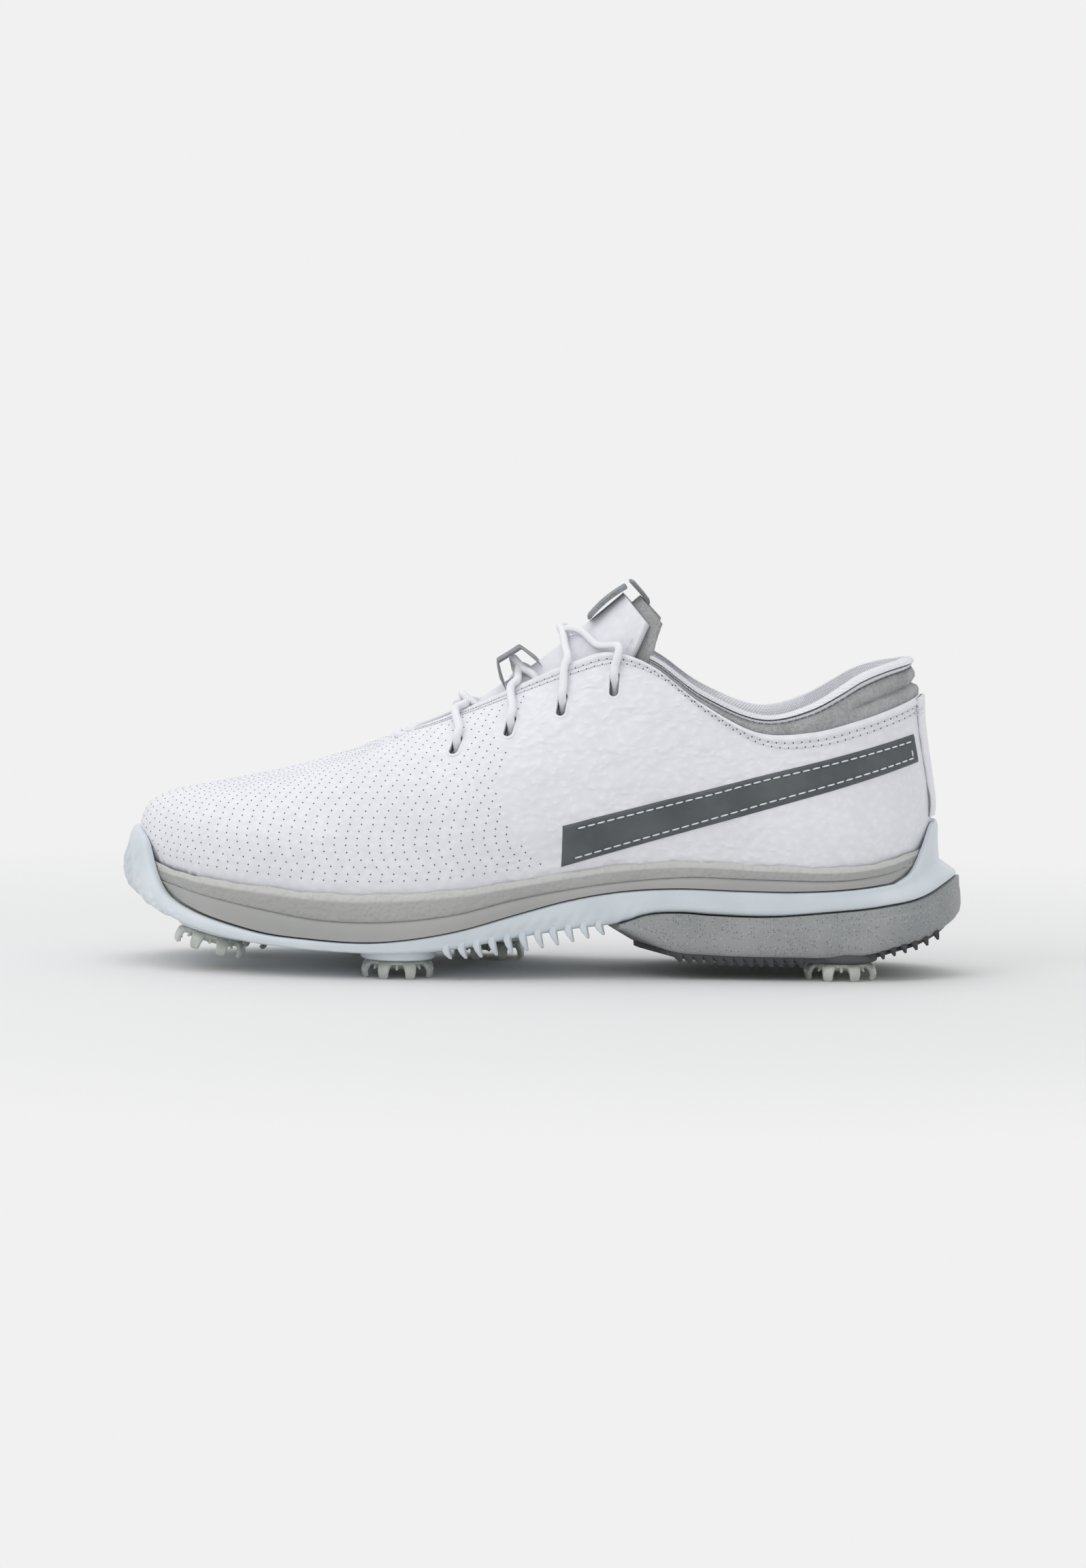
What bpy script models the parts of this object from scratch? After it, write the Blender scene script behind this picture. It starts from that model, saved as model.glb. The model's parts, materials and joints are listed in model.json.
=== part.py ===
"""Left golf shoe with soft spikes, modelled as the separate pieces it is made of.

Frame: metres, +Z up, floor at Z = 0 under the spikes. The toe points to -X and the heel to +X,
the outer (lateral) side is -Y and the inner (medial) side is +Y. Tables are in millimetres.
"""
import math

import bmesh
import bpy
import numpy as np
from mathutils import Matrix, Vector

MM = 0.001
GAP = 0.3                  # clearance between pieces that touch

# ------------------------------------------------------------------ driving dimensions, mm
LENGTH = 302.0             # toe bumper to the back of the heel wedge
HALF_REF = 45.0            # half width at which an inset is exact
SIDE_STEPS = 24            # points along one side of a ring, toe to heel

# Plan outline of the sole: (x, y) of the lateral and of the medial edge.
LATERAL = [(-151, 8), (-145, -12), (-138, -22), (-128, -32), (-115, -40), (-95, -47.5), (-75, -52),
           (-52, -54), (-32, -52.5), (-12, -48.5), (8, -44), (30, -40.5), (55, -38.5), (80, -38),
           (105, -37), (122, -33.5), (135, -26), (144, -16), (151, 0)]
MEDIAL = [(-151, 8), (-145, 26), (-138, 34.5), (-128, 41.5), (-115, 47), (-95, 51.5), (-75, 53.5),
          (-58, 54), (-40, 52), (-20, 46.5), (0, 39.5), (20, 35), (40, 33.5), (60, 34.5),
          (80, 37), (105, 37.5), (122, 34.5), (135, 27), (144, 17), (151, 0)]

# Heights along the shoe: (x, z).
FEATHER_Z = [(-144, 40), (-138, 36), (-125, 33.4), (-100, 31), (-75, 29.3), (-50, 29.8), (-25, 32),
             (0, 36), (25, 39.8), (50, 41.5), (80, 40.4), (112, 40.4), (126, 42.6), (137, 46)]
CREASE_Z = [(-144, 32), (-120, 27), (-100, 23.5), (-80, 20.6), (-50, 20.8), (-30, 23.5), (-10, 28.5),
            (10, 32.2), (30, 34.9), (50, 36.5), (80, 36), (112, 36.3), (126, 38.5), (137, 42)]
PLATE_TOP_Z = [(-148, 26.5), (-130, 22.4), (-120, 19.3), (-110, 16.8), (-100, 14.8), (-85, 13.5),
               (-60, 12.9), (-45, 14.5), (-30, 17.3), (-10, 22.8), (10, 28), (30, 31.2), (48, 32.2),
               (70, 31.7), (90, 31.5), (115, 32.8), (130, 34.5), (142, 35.5)]
PLATE_BOTTOM_Z = [(-143, 23), (-128, 18.2), (-115, 14.2), (-100, 11.4), (-85, 10), (-70, 9.2),
                  (-45, 9.1), (-28, 11), (-10, 14.5), (10, 17.6), (28, 20.2), (37, 23.1), (48, 23.9),
                  (60, 23.2), (80, 22.8), (100, 24.4), (120, 26.5), (136, 29.7), (149, 36.6)]
WEDGE_BOTTOM_Z = [(28, 17.8), (37.5, 13.5), (46.5, 9.9), (60, 8.7), (85, 8.2), (105, 8.4),
                  (116, 9.3), (126, 11.7), (136, 14.2), (145.5, 19.2), (151, 24.4)]

# Extra wall height where the plate wraps up the toe and the heel: (station, rise).
TOE_CLIP = [(0, 21.5), (0.05, 21), (0.08, 17.5), (0.1, 9.5), (0.12, 4), (0.15, 0.8), (0.18, 0)]
HEEL_CLIP = [(0.85, 0), (0.89, 4), (0.92, 11.5), (0.95, 18.6), (1, 19)]

# Top edge of the upper: (station, x, y on the lateral side, z). Throat, eyestay, collar, heel.
TOP_EDGE = [(0, -52, 0, 80.7), (0.15, -52, -3.5, 80.8), (0.27, -50.6, -6.4, 81.6),
            (0.34, -46.2, -8.4, 85.8), (0.4, -37, -10, 89.7), (0.45, -23.5, -12.2, 95.6),
            (0.5, -8, -15.4, 103), (0.55, 8, -18.8, 110.2), (0.6, 23, -22, 114.8),
            (0.65, 38.5, -24.6, 110.2), (0.7, 56, -27.6, 97.5), (0.75, 76, -31.2, 87.4),
            (0.8, 95, -31.6, 87.6), (0.85, 111.5, -26.6, 91.5), (0.9, 124, -18.6, 95.4),
            (0.95, 132.4, -9.6, 98.6), (1, 135.3, 0, 100)]
FEATHER_TOE = -143.4
FEATHER_HEEL = 138.0

# Cross-sections of the upper, from the feather line (v = 0) to the top edge (v = 1): share of the
# way in plan, share of the way up, and bulge outward in mm.
SECTION_V = (0, 0.1, 0.2, 0.3, 0.45, 0.6, 0.8, 1)
SECTIONS = {
    0.00: ((0, 0, 0.03, 0.08, 0.25, 0.5, 0.78, 1), (0, 0.2, 0.38, 0.49, 0.58, 0.7, 0.88, 1),
           (0, 2, 2.6, 1, 0, 0, 0, 0)),
    0.15: ((0, 0, 0.04, 0.11, 0.28, 0.52, 0.78, 1), (0, 0.2, 0.4, 0.54, 0.66, 0.77, 0.9, 1),
           (0, 1.8, 2.4, 1, 0, 0, 0, 0)),
    0.30: ((0, 0, 0.02, 0.07, 0.2, 0.42, 0.72, 1), (0, 0.16, 0.33, 0.48, 0.67, 0.82, 0.94, 1),
           (0, 1.4, 1.8, 1.2, 0, 0, 0, 0)),
    0.42: ((0, 0, 0.02, 0.06, 0.18, 0.4, 0.7, 1), (0, 0.13, 0.28, 0.42, 0.61, 0.78, 0.92, 1),
           (0, 1.4, 1.8, 1.4, 0.4, 0, 0, 0)),
    0.52: ((0, 0, 0, 0.04, 0.16, 0.38, 0.69, 1), (0, 0.12, 0.25, 0.38, 0.57, 0.75, 0.9, 1),
           (0, 1.2, 1.8, 1.6, 0.6, 0, 0, 0)),
    0.65: ((0, 0.02, 0.05, 0.1, 0.26, 0.48, 0.76, 1), (0, 0.12, 0.24, 0.37, 0.55, 0.73, 0.88, 1),
           (0, 1, 1.8, 1.8, 1, 0.2, 0, 0)),
    0.80: ((0, 0.06, 0.13, 0.22, 0.4, 0.6, 0.82, 1), (0, 0.1, 0.2, 0.3, 0.47, 0.65, 0.84, 1),
           (0, 1.2, 2.2, 2.6, 2.4, 1.4, 0.3, 0)),
    1.00: ((0, 0.02, 0.06, 0.14, 0.34, 0.6, 0.84, 1), (0, 0.1, 0.2, 0.3, 0.47, 0.65, 0.84, 1),
           (0, 1.2, 1.9, 2.1, 1.7, 0.8, 0.1, 0)),
}

# Layers of the upper, depth below its outer face in mm.
LEATHER = 1.4
STIFFENER = (1.8, 2.7)     # toe puff, heel counter and eyestay tape
VAMP_LINING = (3.1, 3.9)
TUCK_DEPTH = 5.2           # how far the upper goes down inside the midsole rim
TUCK_INSET = 1.2

# Laces and their slots.
LACE_D = 2.9
ROUTE_STEPS = 2400         # fine steps that a cord's points are picked from
BEND_WEIGHT = 12.0         # mm of straight run that one radian of bend counts for
LACE_CLEAR = 0.35
TAIL_PLAN = [(4, 21), (-14, 22), (-36, 24), (-58, 25), (-74, 22), (-80, 15), (-73, 9), (-58, 8),
             (-38, 10), (-22, 9)]          # x of the lace's free end on the insole, and its y inwards
AGLET_D = 3.4
AGLET_LENGTH = 22.0
SLOT_WIDTH = 4.2
SLOT_HEIGHT = 9.4
SLOTS_XZ = [(-48.5, 74), (-31.5, 82), (-12.5, 88.9), (6, 96.8), (24.5, 104.3)]

# Tongue: (share of its length, centre x, centre z, half width, drop of its edge).
TONGUE = [(0, -54, 68.5, 15, 3), (0.13, -44, 76.5, 16, 9), (0.27, -33, 87, 17, 18),
          (0.42, -20.7, 98.2, 17.5, 27), (0.58, -4.4, 109, 19.5, 32), (0.7, 6.7, 117.8, 20.5, 34),
          (0.82, 15, 124.5, 22, 31), (1, 30.5, 138, 24, 15)]
TONGUE_LAYERS = {"tongue_leather": (0, 1.2, 0.8), "tongue_foam": (1.6, 4.2, 0.76),
                 "tongue_lining": (4.6, 5.6, 0.94)}

# Spikes.
SPIKE_R = 13.0
SPIKE_H = 6.0
BOSS_R = 13.3
BOSS_H = 4.2
STUD_R = 4.2
STUD_H = 3.4
SOCKET_R = 7.0
SOCKET_H = 4.0
LEGS = 8
SPIKES = {  # name: (x, y, z of the boss face, tilt of the toe spring in degrees)
    "toe_lateral": (-117.5, -20, 12.9, 15),
    "toe_medial": (-111, 26, 11.3, 14),
    "ball_lateral": (-51, -36.5, SPIKE_H + GAP, 0),
    "ball_medial": (-57, 37, SPIKE_H + GAP, 0),
    "arch_medial": (-19, 29, SPIKE_H + GAP, 0),
    "heel_lateral": (107, -22.5, SPIKE_H + GAP, 0),
    "heel_medial": (107, 22.5, SPIKE_H + GAP, 0),
}

COLOURS = {  # colour, roughness, metallic
    "leather": ((0.82, 0.83, 0.86), 0.55, 0), "suede": ((0.47, 0.48, 0.5), 0.95, 0),
    "twill": ((0.84, 0.84, 0.87), 0.85, 0), "stripe": ((0.09, 0.1, 0.105), 0.6, 0),
    "midsole": ((0.47, 0.47, 0.46), 0.75, 0), "plate": ((0.62, 0.68, 0.73), 0.25, 0),
    "wedge": ((0.32, 0.33, 0.34), 0.8, 0), "tread": ((0.07, 0.075, 0.08), 0.7, 0),
    "spike": ((0.45, 0.5, 0.45), 0.15, 0), "socket": ((0.05, 0.05, 0.05), 0.5, 0),
    "lace": ((0.83, 0.83, 0.86), 0.9, 0), "foam": ((0.75, 0.74, 0.68), 0.95, 0),
    "board": ((0.6, 0.6, 0.58), 0.9, 0), "air": ((0.7, 0.8, 0.85), 0.1, 0),
    "aglet": ((0.85, 0.87, 0.88), 0.2, 0),
}


# ------------------------------------------------------------------ scene and materials
for stale in list(bpy.data.objects):
    bpy.data.objects.remove(stale, do_unlink=True)

shoe = bpy.data.collections.new("golf_shoe")
cutters = bpy.data.collections.new("cutters")
for group in (shoe, cutters):
    bpy.context.scene.collection.children.link(group)


def make_material(name):
    """Plain material of one of the shoe's finishes."""
    colour, roughness, metallic = COLOURS[name]
    material = bpy.data.materials.new(name)
    material.use_nodes = True
    shader = material.node_tree.nodes["Principled BSDF"]
    shader.inputs["Base Color"].default_value = (*colour, 1)
    shader.inputs["Roughness"].default_value = roughness
    shader.inputs["Metallic"].default_value = metallic
    material.diffuse_color = (*colour, 1)
    return material


def add_mesh(name, verts_mm, faces, finish, group=None):
    """New object from points in millimetres, with its faces turned outward."""
    mesh = bpy.data.meshes.new(name)
    mesh.from_pydata([tuple(float(c) * MM for c in p) for p in verts_mm], [], faces)
    shape = bmesh.new()
    shape.from_mesh(mesh)
    bmesh.ops.recalc_face_normals(shape, faces=shape.faces)
    shape.to_mesh(mesh)
    shape.free()
    return add_object(name, mesh, finish, group)


def add_object(name, mesh, finish, group=None):
    """Object of the shoe, or a hidden cutter when a group is given."""
    item = bpy.data.objects.new(name, mesh)
    (group or shoe).objects.link(item)
    if finish and not mesh.materials:
        mesh.materials.append(make_material(finish))
    if group is cutters:
        item.hide_render = True
        item.display_type = "WIRE"
    mesh.shade_smooth()
    mesh.set_sharp_from_angle(angle=math.radians(40))
    return item


def boolean(item, other, operation):
    """Exact Boolean of item with another object."""
    cut = item.modifiers.new(operation.lower() + "_" + other.name, "BOOLEAN")
    cut.operation = operation
    cut.object = other
    cut.solver = "EXACT"


def evaluated_mesh(item):
    """The item's mesh with its modifiers applied."""
    graph = bpy.context.evaluated_depsgraph_get()
    return bpy.data.meshes.new_from_object(item.evaluated_get(graph))


# ------------------------------------------------------------------ curves and rings
def spline(points, u, column=1):
    """Smooth curve through the rows of points, read at u from the given column."""
    xs = np.array([p[0] for p in points], float)
    ys = np.array([p[column] for p in points], float)
    slopes = np.gradient(ys, xs)
    u = min(max(u, xs[0]), xs[-1])
    k = min(max(int(np.searchsorted(xs, u)) - 1, 0), len(xs) - 2)
    h = xs[k + 1] - xs[k]
    s = (u - xs[k]) / h
    a = (1 + 2 * s) * (1 - s) ** 2 * ys[k] + s * (1 - s) ** 2 * h * slopes[k]
    b = s * s * (3 - 2 * s) * ys[k + 1] + s * s * (s - 1) * h * slopes[k + 1]
    return a + b


def station(x):
    """Share of the way round one side, 0 at the toe and 1 at the heel, where the outline is at x."""
    return math.acos(max(-1.0, min(1.0, -x / (LENGTH / 2)))) / math.pi


LATERAL_T = [(station(x), y) for x, y in LATERAL]
MEDIAL_T = [(station(x), y) for x, y in MEDIAL]


def smooth_step(edge0, edge1, u):
    s = min(max((u - edge0) / (edge1 - edge0), 0.0), 1.0)
    return s * s * (3 - 2 * s)


def in_clip(t):
    """1 inside the toe and heel wraps of the plate, 0 along the sides."""
    return max(1 - smooth_step(0.1, 0.19, t), smooth_step(0.86, 0.95, t))


def plan(t, side, x_toe, x_heel, inset):
    """Point of the outline at station t, scaled to its own toe and heel and moved in by inset."""
    c = -math.cos(math.pi * t)
    x = c * (-x_toe if c < 0 else x_heel)
    lateral, medial = spline(LATERAL_T, t), spline(MEDIAL_T, t)
    centre, half = (lateral + medial) / 2, (medial - lateral) / 2
    return x, centre + side * half * (1 - inset / HALF_REF)


WEDGE_START = station(28)
TREAD_START = station(46)
STATIONS = sorted([k / SIDE_STEPS for k in range(SIDE_STEPS + 1)] + [WEDGE_START, TREAD_START])


def ring(x_toe, x_heel, inset, height, start=0.0):
    """Lateral and medial rows of points. inset and height are numbers or functions of station."""
    rows = []
    for side in (-1, 1):
        row = []
        for t in STATIONS:
            if t >= start:
                x, y = plan(t, side, x_toe, x_heel, inset(t) if callable(inset) else inset)
                row.append((x, y, height(t) if callable(height) else height))
        rows.append(row)
    return rows


def halves(a, b, c, d):
    """The two triangles of a quad, cut from a to c, so that nested layers fold the same way."""
    return [(a, b, c), (a, c, d)]


def ring_solid(name, rings, finish, group=None):
    """Closed body over a stack of rings. Faces between the two sides close the first and last."""
    pointed = abs(rings[0][0][0][1] - rings[0][1][0][1]) < 1e-6
    steps = len(rings[0][0]) - 1
    verts, index = [], []
    for lateral, medial in rings:
        first = len(verts)
        loop = list(lateral) + list(reversed(medial[(1 if pointed else 0):-1]))
        verts += loop
        index.append([first + k for k in range(len(loop))])
    faces = []
    for low, high in zip(index, index[1:]):
        count = len(low)
        for k in range(count):
            n = (k + 1) % count
            faces += halves(low[k], low[n], high[n], high[k])
    for loop in (index[0], index[-1]):
        opposite = {steps: loop[steps]}
        for k in range(steps):
            opposite[k] = loop[0] if (pointed and k == 0) else loop[2 * steps - k]
        for k in range(steps):
            for triangle in halves(loop[k], loop[k + 1], opposite[k + 1], opposite[k]):
                if len(set(triangle)) == 3:
                    faces.append(triangle)
    return add_mesh(name, verts, faces, finish, group)


def strip_solid(name, outer, inner, finish, closed=False):
    """Closed body between two grids of points of the same size. closed joins the last column
    to the first."""
    columns, rows = len(outer), len(outer[0])
    verts = [p for column in outer for p in column] + [p for column in inner for p in column]
    half = columns * rows
    faces = []
    span = columns if closed else columns - 1
    for i in range(span):
        j = (i + 1) % columns
        for r in range(rows - 1):
            a, b, c, d = i * rows + r, j * rows + r, j * rows + r + 1, i * rows + r + 1
            faces += halves(a, b, c, d)
            faces += halves(half + a, half + b, half + c, half + d)
        for r in (0, rows - 1):
            a, b = i * rows + r, j * rows + r
            faces += halves(a, b, half + b, half + a)
    if not closed:
        for i in (0, columns - 1):
            for r in range(rows - 1):
                a, d = i * rows + r, i * rows + r + 1
                faces += halves(a, d, half + d, half + a)
    return add_mesh(name, verts, faces, finish)


def turned(name, profile_mm, finish, segments=12, group=None):
    """Round body from a closed (radius, height) profile, turned about Z."""
    mesh = bpy.data.meshes.new(name)
    verts = [(r * MM, 0, z * MM) for r, z in profile_mm]
    mesh.from_pydata(verts, [(k, k + 1) for k in range(len(verts) - 1)], [])
    item = add_object(name, mesh, finish, group)
    screw = item.modifiers.new("turn", "SCREW")
    screw.axis = "Z"
    screw.steps = segments
    screw.render_steps = segments
    screw.use_merge_vertices = True
    screw.merge_threshold = 0.00001
    return item


# ------------------------------------------------------------------ heights of the sole
def along(t, x_toe, x_heel):
    """x at station t on a ring from x_toe to x_heel."""
    c = -math.cos(math.pi * t)
    return c * (-x_toe if c < 0 else x_heel)


def feather_z(t):
    return spline(FEATHER_Z, along(t, FEATHER_TOE, FEATHER_HEEL))


def crease_z(t):
    return spline(CREASE_Z, along(t, -145, 139.6))


def plate_bottom(t):
    return spline(PLATE_BOTTOM_Z, along(t, -143, 147.3))


def plate_top(t):
    clip = spline(TOE_CLIP, t) if t < 0.18 else (spline(HEEL_CLIP, t) if t > 0.85 else 0.0)
    return spline(PLATE_TOP_Z, along(t, -148, 142.2)) + clip


def plate_share(toe, side, heel):
    """Height a share of the way up the plate's wall, with its own shares at toe and heel."""
    def height(t):
        share = side + (toe - side) * (1 - smooth_step(0.02, 0.2, t))
        share += (heel - side) * smooth_step(0.84, 0.97, t)
        return plate_bottom(t) + share * (plate_top(t) - plate_bottom(t))
    return height


def bed_z(t):
    return plate_bottom(t) + 2.7


def wedge_bottom(t):
    return spline(WEDGE_BOTTOM_Z, along(t, -LENGTH / 2, LENGTH / 2))


# ------------------------------------------------------------------ surface of the upper
SECTION_T = sorted(SECTIONS)


def section(t, v):
    """Plan share, height share and bulge of the upper at station t and height v."""
    values = []
    for channel in range(3):
        knots = [(sv, spline([(st, SECTIONS[st][channel][i]) for st in SECTION_T], t))
                 for i, sv in enumerate(SECTION_V)]
        values.append(spline(knots, v))
    return values


def feather_inset(t):
    return 3.0 + 2.9 * in_clip(t)


def feather_point(t, side, inset=0.0):
    x, y = plan(t, side, FEATHER_TOE, FEATHER_HEEL, feather_inset(t) + inset)
    return np.array((x, y, feather_z(t)))


def feather_normal(t, side):
    """Outward direction in plan at the feather line."""
    e = 0.01
    a, b = feather_point(max(t - e, 0), side), feather_point(min(t + e, 1), side)
    if t < e:
        a = feather_point(e, -side)
    if t > 1 - e:
        b = feather_point(1 - e, -side)
    d = (b - a)[:2]
    n = np.array((d[1], -d[0], 0.0)) if side < 0 else np.array((-d[1], d[0], 0.0))
    return n / np.linalg.norm(n)


def top_point(t, side):
    """Top edge of the upper. The medial side mirrors the lateral one about the throat's line."""
    x, y, z = (spline(TOP_EDGE, t, c) for c in (1, 2, 3))
    line = 2.0 * (1 - smooth_step(0.3, 0.9, t))
    return np.array((x, line - side * y, z))


def upper_point(t, v, side):
    """Outer face of the upper."""
    low, high = feather_point(t, side), top_point(t, side)
    share, rise, bulge = section(t, v)
    p = low + (high - low) * share
    p[2] = low[2] + (high[2] - low[2]) * rise
    return p + feather_normal(t, side) * bulge


def upper_frame(t, v, side):
    """Point, outward normal and upward direction on the upper's outer face."""
    e = 0.01
    p = upper_point(t, v, side)
    across = upper_point(min(t + e, 1), v, side) - upper_point(max(t - e, 0), v, side)
    up = upper_point(t, min(v + e, 1), side) - upper_point(t, max(v - e, 0), side)
    n = np.cross(across, up) * (1 if side < 0 else -1)
    n /= np.linalg.norm(n)
    lift = np.array((0, 0, 1.0)) - n * n[2]
    return p, n, lift / np.linalg.norm(lift)


UPPER_ROWS = (0, 0.05, 0.12, 0.2, 0.3, 0.42, 0.56, 0.72, 0.86, 1)
UPPER_STATIONS = (0, 0.05, 0.1, 0.15, 0.2, 0.25, 0.3, 0.333, 0.366, 0.4, 0.433, 0.466, 0.5, 0.533,
                  0.566, 0.6, 0.633, 0.666, 0.7, 0.74, 0.78, 0.82, 0.86, 0.9, 0.935, 0.967, 1)


def upper_columns():
    """(station, side) of each column, lateral toe to heel and back along the medial side."""
    lateral = [(t, -1) for t in UPPER_STATIONS]
    medial = [(t, 1) for t in UPPER_STATIONS[-2:0:-1]]
    return lateral + medial


THROAT_NORMAL = np.array((-0.26, 0.0, 0.965))      # keeps the layers from crossing at the throat


def build_upper_grid():
    """Points and normals of the upper's outer face, column by column."""
    columns = upper_columns()
    points = np.array([[upper_point(t, v, side) for v in UPPER_ROWS] for t, side in columns])
    normals = np.zeros_like(points)
    count = len(columns)
    for i in range(count):
        for r in range(len(UPPER_ROWS)):
            across = points[(i + 1) % count, r] - points[i - 1, r]
            up = points[i, min(r + 1, len(UPPER_ROWS) - 1)] - points[i, max(r - 1, 0)]
            n = np.cross(across, up)
            n /= np.linalg.norm(n)
            throat = smooth_step(0.4, 0.8, UPPER_ROWS[r]) * (1 - smooth_step(0.3, 0.45, columns[i][0]))
            n = n * (1 - throat) + THROAT_NORMAL * throat
            normals[i, r] = n / np.linalg.norm(n)
    return columns, points, normals


COLUMNS, UPPER, UPPER_N = build_upper_grid()


def layer(columns, rows, depth):
    """Grid of the upper's face moved in by depth, a number or a function of (station, v)."""
    grid = []
    for i in columns:
        t = COLUMNS[i][0]
        grid.append([UPPER[i, r] - UPPER_N[i, r] * (depth(t, UPPER_ROWS[r]) if callable(depth) else depth)
                     for r in rows])
    return grid


def columns_between(low, high, across_toe=False, across_heel=False, side=0):
    """Column numbers with stations in a range, in order, on one side or through an end."""
    picked = [i for i, (t, s) in enumerate(COLUMNS)
              if low - 1e-6 <= t <= high + 1e-6 and (not side or s == side)]
    if across_toe:
        split = [i for i in picked if COLUMNS[i][1] > 0]
        return split + [i for i in picked if COLUMNS[i][1] < 0]
    return picked


def rows_between(low, high):
    return [r for r, v in enumerate(UPPER_ROWS) if low - 1e-6 <= v <= high + 1e-6]


# ------------------------------------------------------------------ upper and its layers
def build_upper():
    everyone = list(range(len(COLUMNS)))
    all_rows = list(range(len(UPPER_ROWS)))

    def with_tuck(depth):
        """Layer that also goes down inside the midsole rim."""
        grid = layer(everyone, all_rows, depth)
        for i, column in enumerate(grid):
            t, side = COLUMNS[i]
            low = feather_point(t, side, TUCK_INSET)
            low[2] -= TUCK_DEPTH
            column.insert(0, low - feather_normal(t, side) * depth)
        return grid

    leather = strip_solid("upper_leather", with_tuck(0), with_tuck(LEATHER), "leather", closed=True)
    outer, inner = STIFFENER
    toe = columns_between(0, 0.2, across_toe=True)
    rows = rows_between(0.05, 0.42)
    strip_solid("toe_puff", layer(toe, rows, outer), layer(toe, rows, inner), "board")
    heel = columns_between(0.76, 1)
    rows = rows_between(0.05, 0.72)
    strip_solid("heel_counter", layer(heel, rows, outer), layer(heel, rows, inner), "board")
    tapes = []
    for side, word in ((-1, "lateral"), (1, "medial")):
        rail = columns_between(0.33, 0.63, side=side)
        rows = rows_between(0.72, 1)
        tapes.append(strip_solid("eyestay_tape_" + word, layer(rail, rows, outer),
                                 layer(rail, rows, inner - 0.2), "board"))
    vamp = columns_between(0, 0.635, across_toe=True)
    rows = rows_between(0.05, 1)
    lining = strip_solid("vamp_lining", layer(vamp, rows, VAMP_LINING[0]),
                         layer(vamp, rows, VAMP_LINING[1]), "twill")
    slots = build_slot_cutter()
    for item in (leather, lining, *tapes):
        boolean(item, slots, "DIFFERENCE")


def locate(x, z, side):
    """Station and height of the upper's point that the side view shows at (x, z)."""
    t, v, step = 0.3 + 0.3 * (x + 50) / 75, 0.85, 0.08
    def miss(a, b):
        p = upper_point(min(max(a, 0), 1), min(max(b, 0), 1), side)
        return math.hypot(p[0] - x, p[2] - z)
    while step > 0.0004:
        options = [(t + i * step, v + j * step) for i in (-1, 0, 1) for j in (-1, 0, 1)]
        best = min(options, key=lambda o: miss(*o))
        step = step / 2 if best == (t, v) else step
        t, v = best
    return t, v


SLOT_FRAMES = {side: [upper_frame(*locate(x, z, side), side) for x, z in SLOTS_XZ] for side in (-1, 1)}


def build_slot_cutter():
    """Ten boxes through the eyestays, one at each lace slot."""
    verts, faces = [], []
    for side in (-1, 1):
        for p, n, up in SLOT_FRAMES[side]:
            along = np.cross(n, up)
            first = len(verts)
            for depth in (-7.5, 3.0):
                for a, b in ((-1, -1), (1, -1), (1, 1), (-1, 1)):
                    verts.append(p + n * depth + along * a * SLOT_WIDTH / 2 + up * b * SLOT_HEIGHT / 2)
            for quad in ((0, 1, 2, 3), (4, 5, 6, 7), (0, 1, 5, 4), (1, 2, 6, 5), (2, 3, 7, 6), (3, 0, 4, 7)):
                faces.append(tuple(first + k for k in quad))
    return add_mesh("lace_slot_cutter", verts, faces, None, cutters)


def collar_frame(i):
    """Top edge point of a column and the outward direction in plan there."""
    t, side = COLUMNS[i]
    a, b = top_point(max(t - 0.02, 0), side), top_point(min(t + 0.02, 1), side)
    if t > 0.98:
        b = top_point(0.98, -side)
    d = (b - a)[:2]
    n = np.array((d[1], -d[0], 0)) if side < 0 else np.array((-d[1], d[0], 0))
    return top_point(t, side), n / np.linalg.norm(n)


COLLAR_CORE = -3.6        # offset past which the collar thins out towards the throat
COLLAR_H = [(0.66, 3), (0.7, 4.5), (0.76, 6), (0.82, 8.5), (0.88, 11.5), (0.94, 13), (1, 13)]


def collar_columns(i, profile):
    """Points of a collar profile given as (offset outward, height, share of the collar's height)."""
    p, n = collar_frame(i)
    t = COLUMNS[i][0]
    h = spline(COLLAR_H, t)
    width = 0.55 + 0.45 * smooth_step(0.66, 0.78, t)
    points = []
    for off, z, share in profile:
        if off < COLLAR_CORE:
            off = COLLAR_CORE + (off - COLLAR_CORE) * width
        points.append(p + n * off + np.array((0, 0, z + share * h)))
    return points


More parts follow.
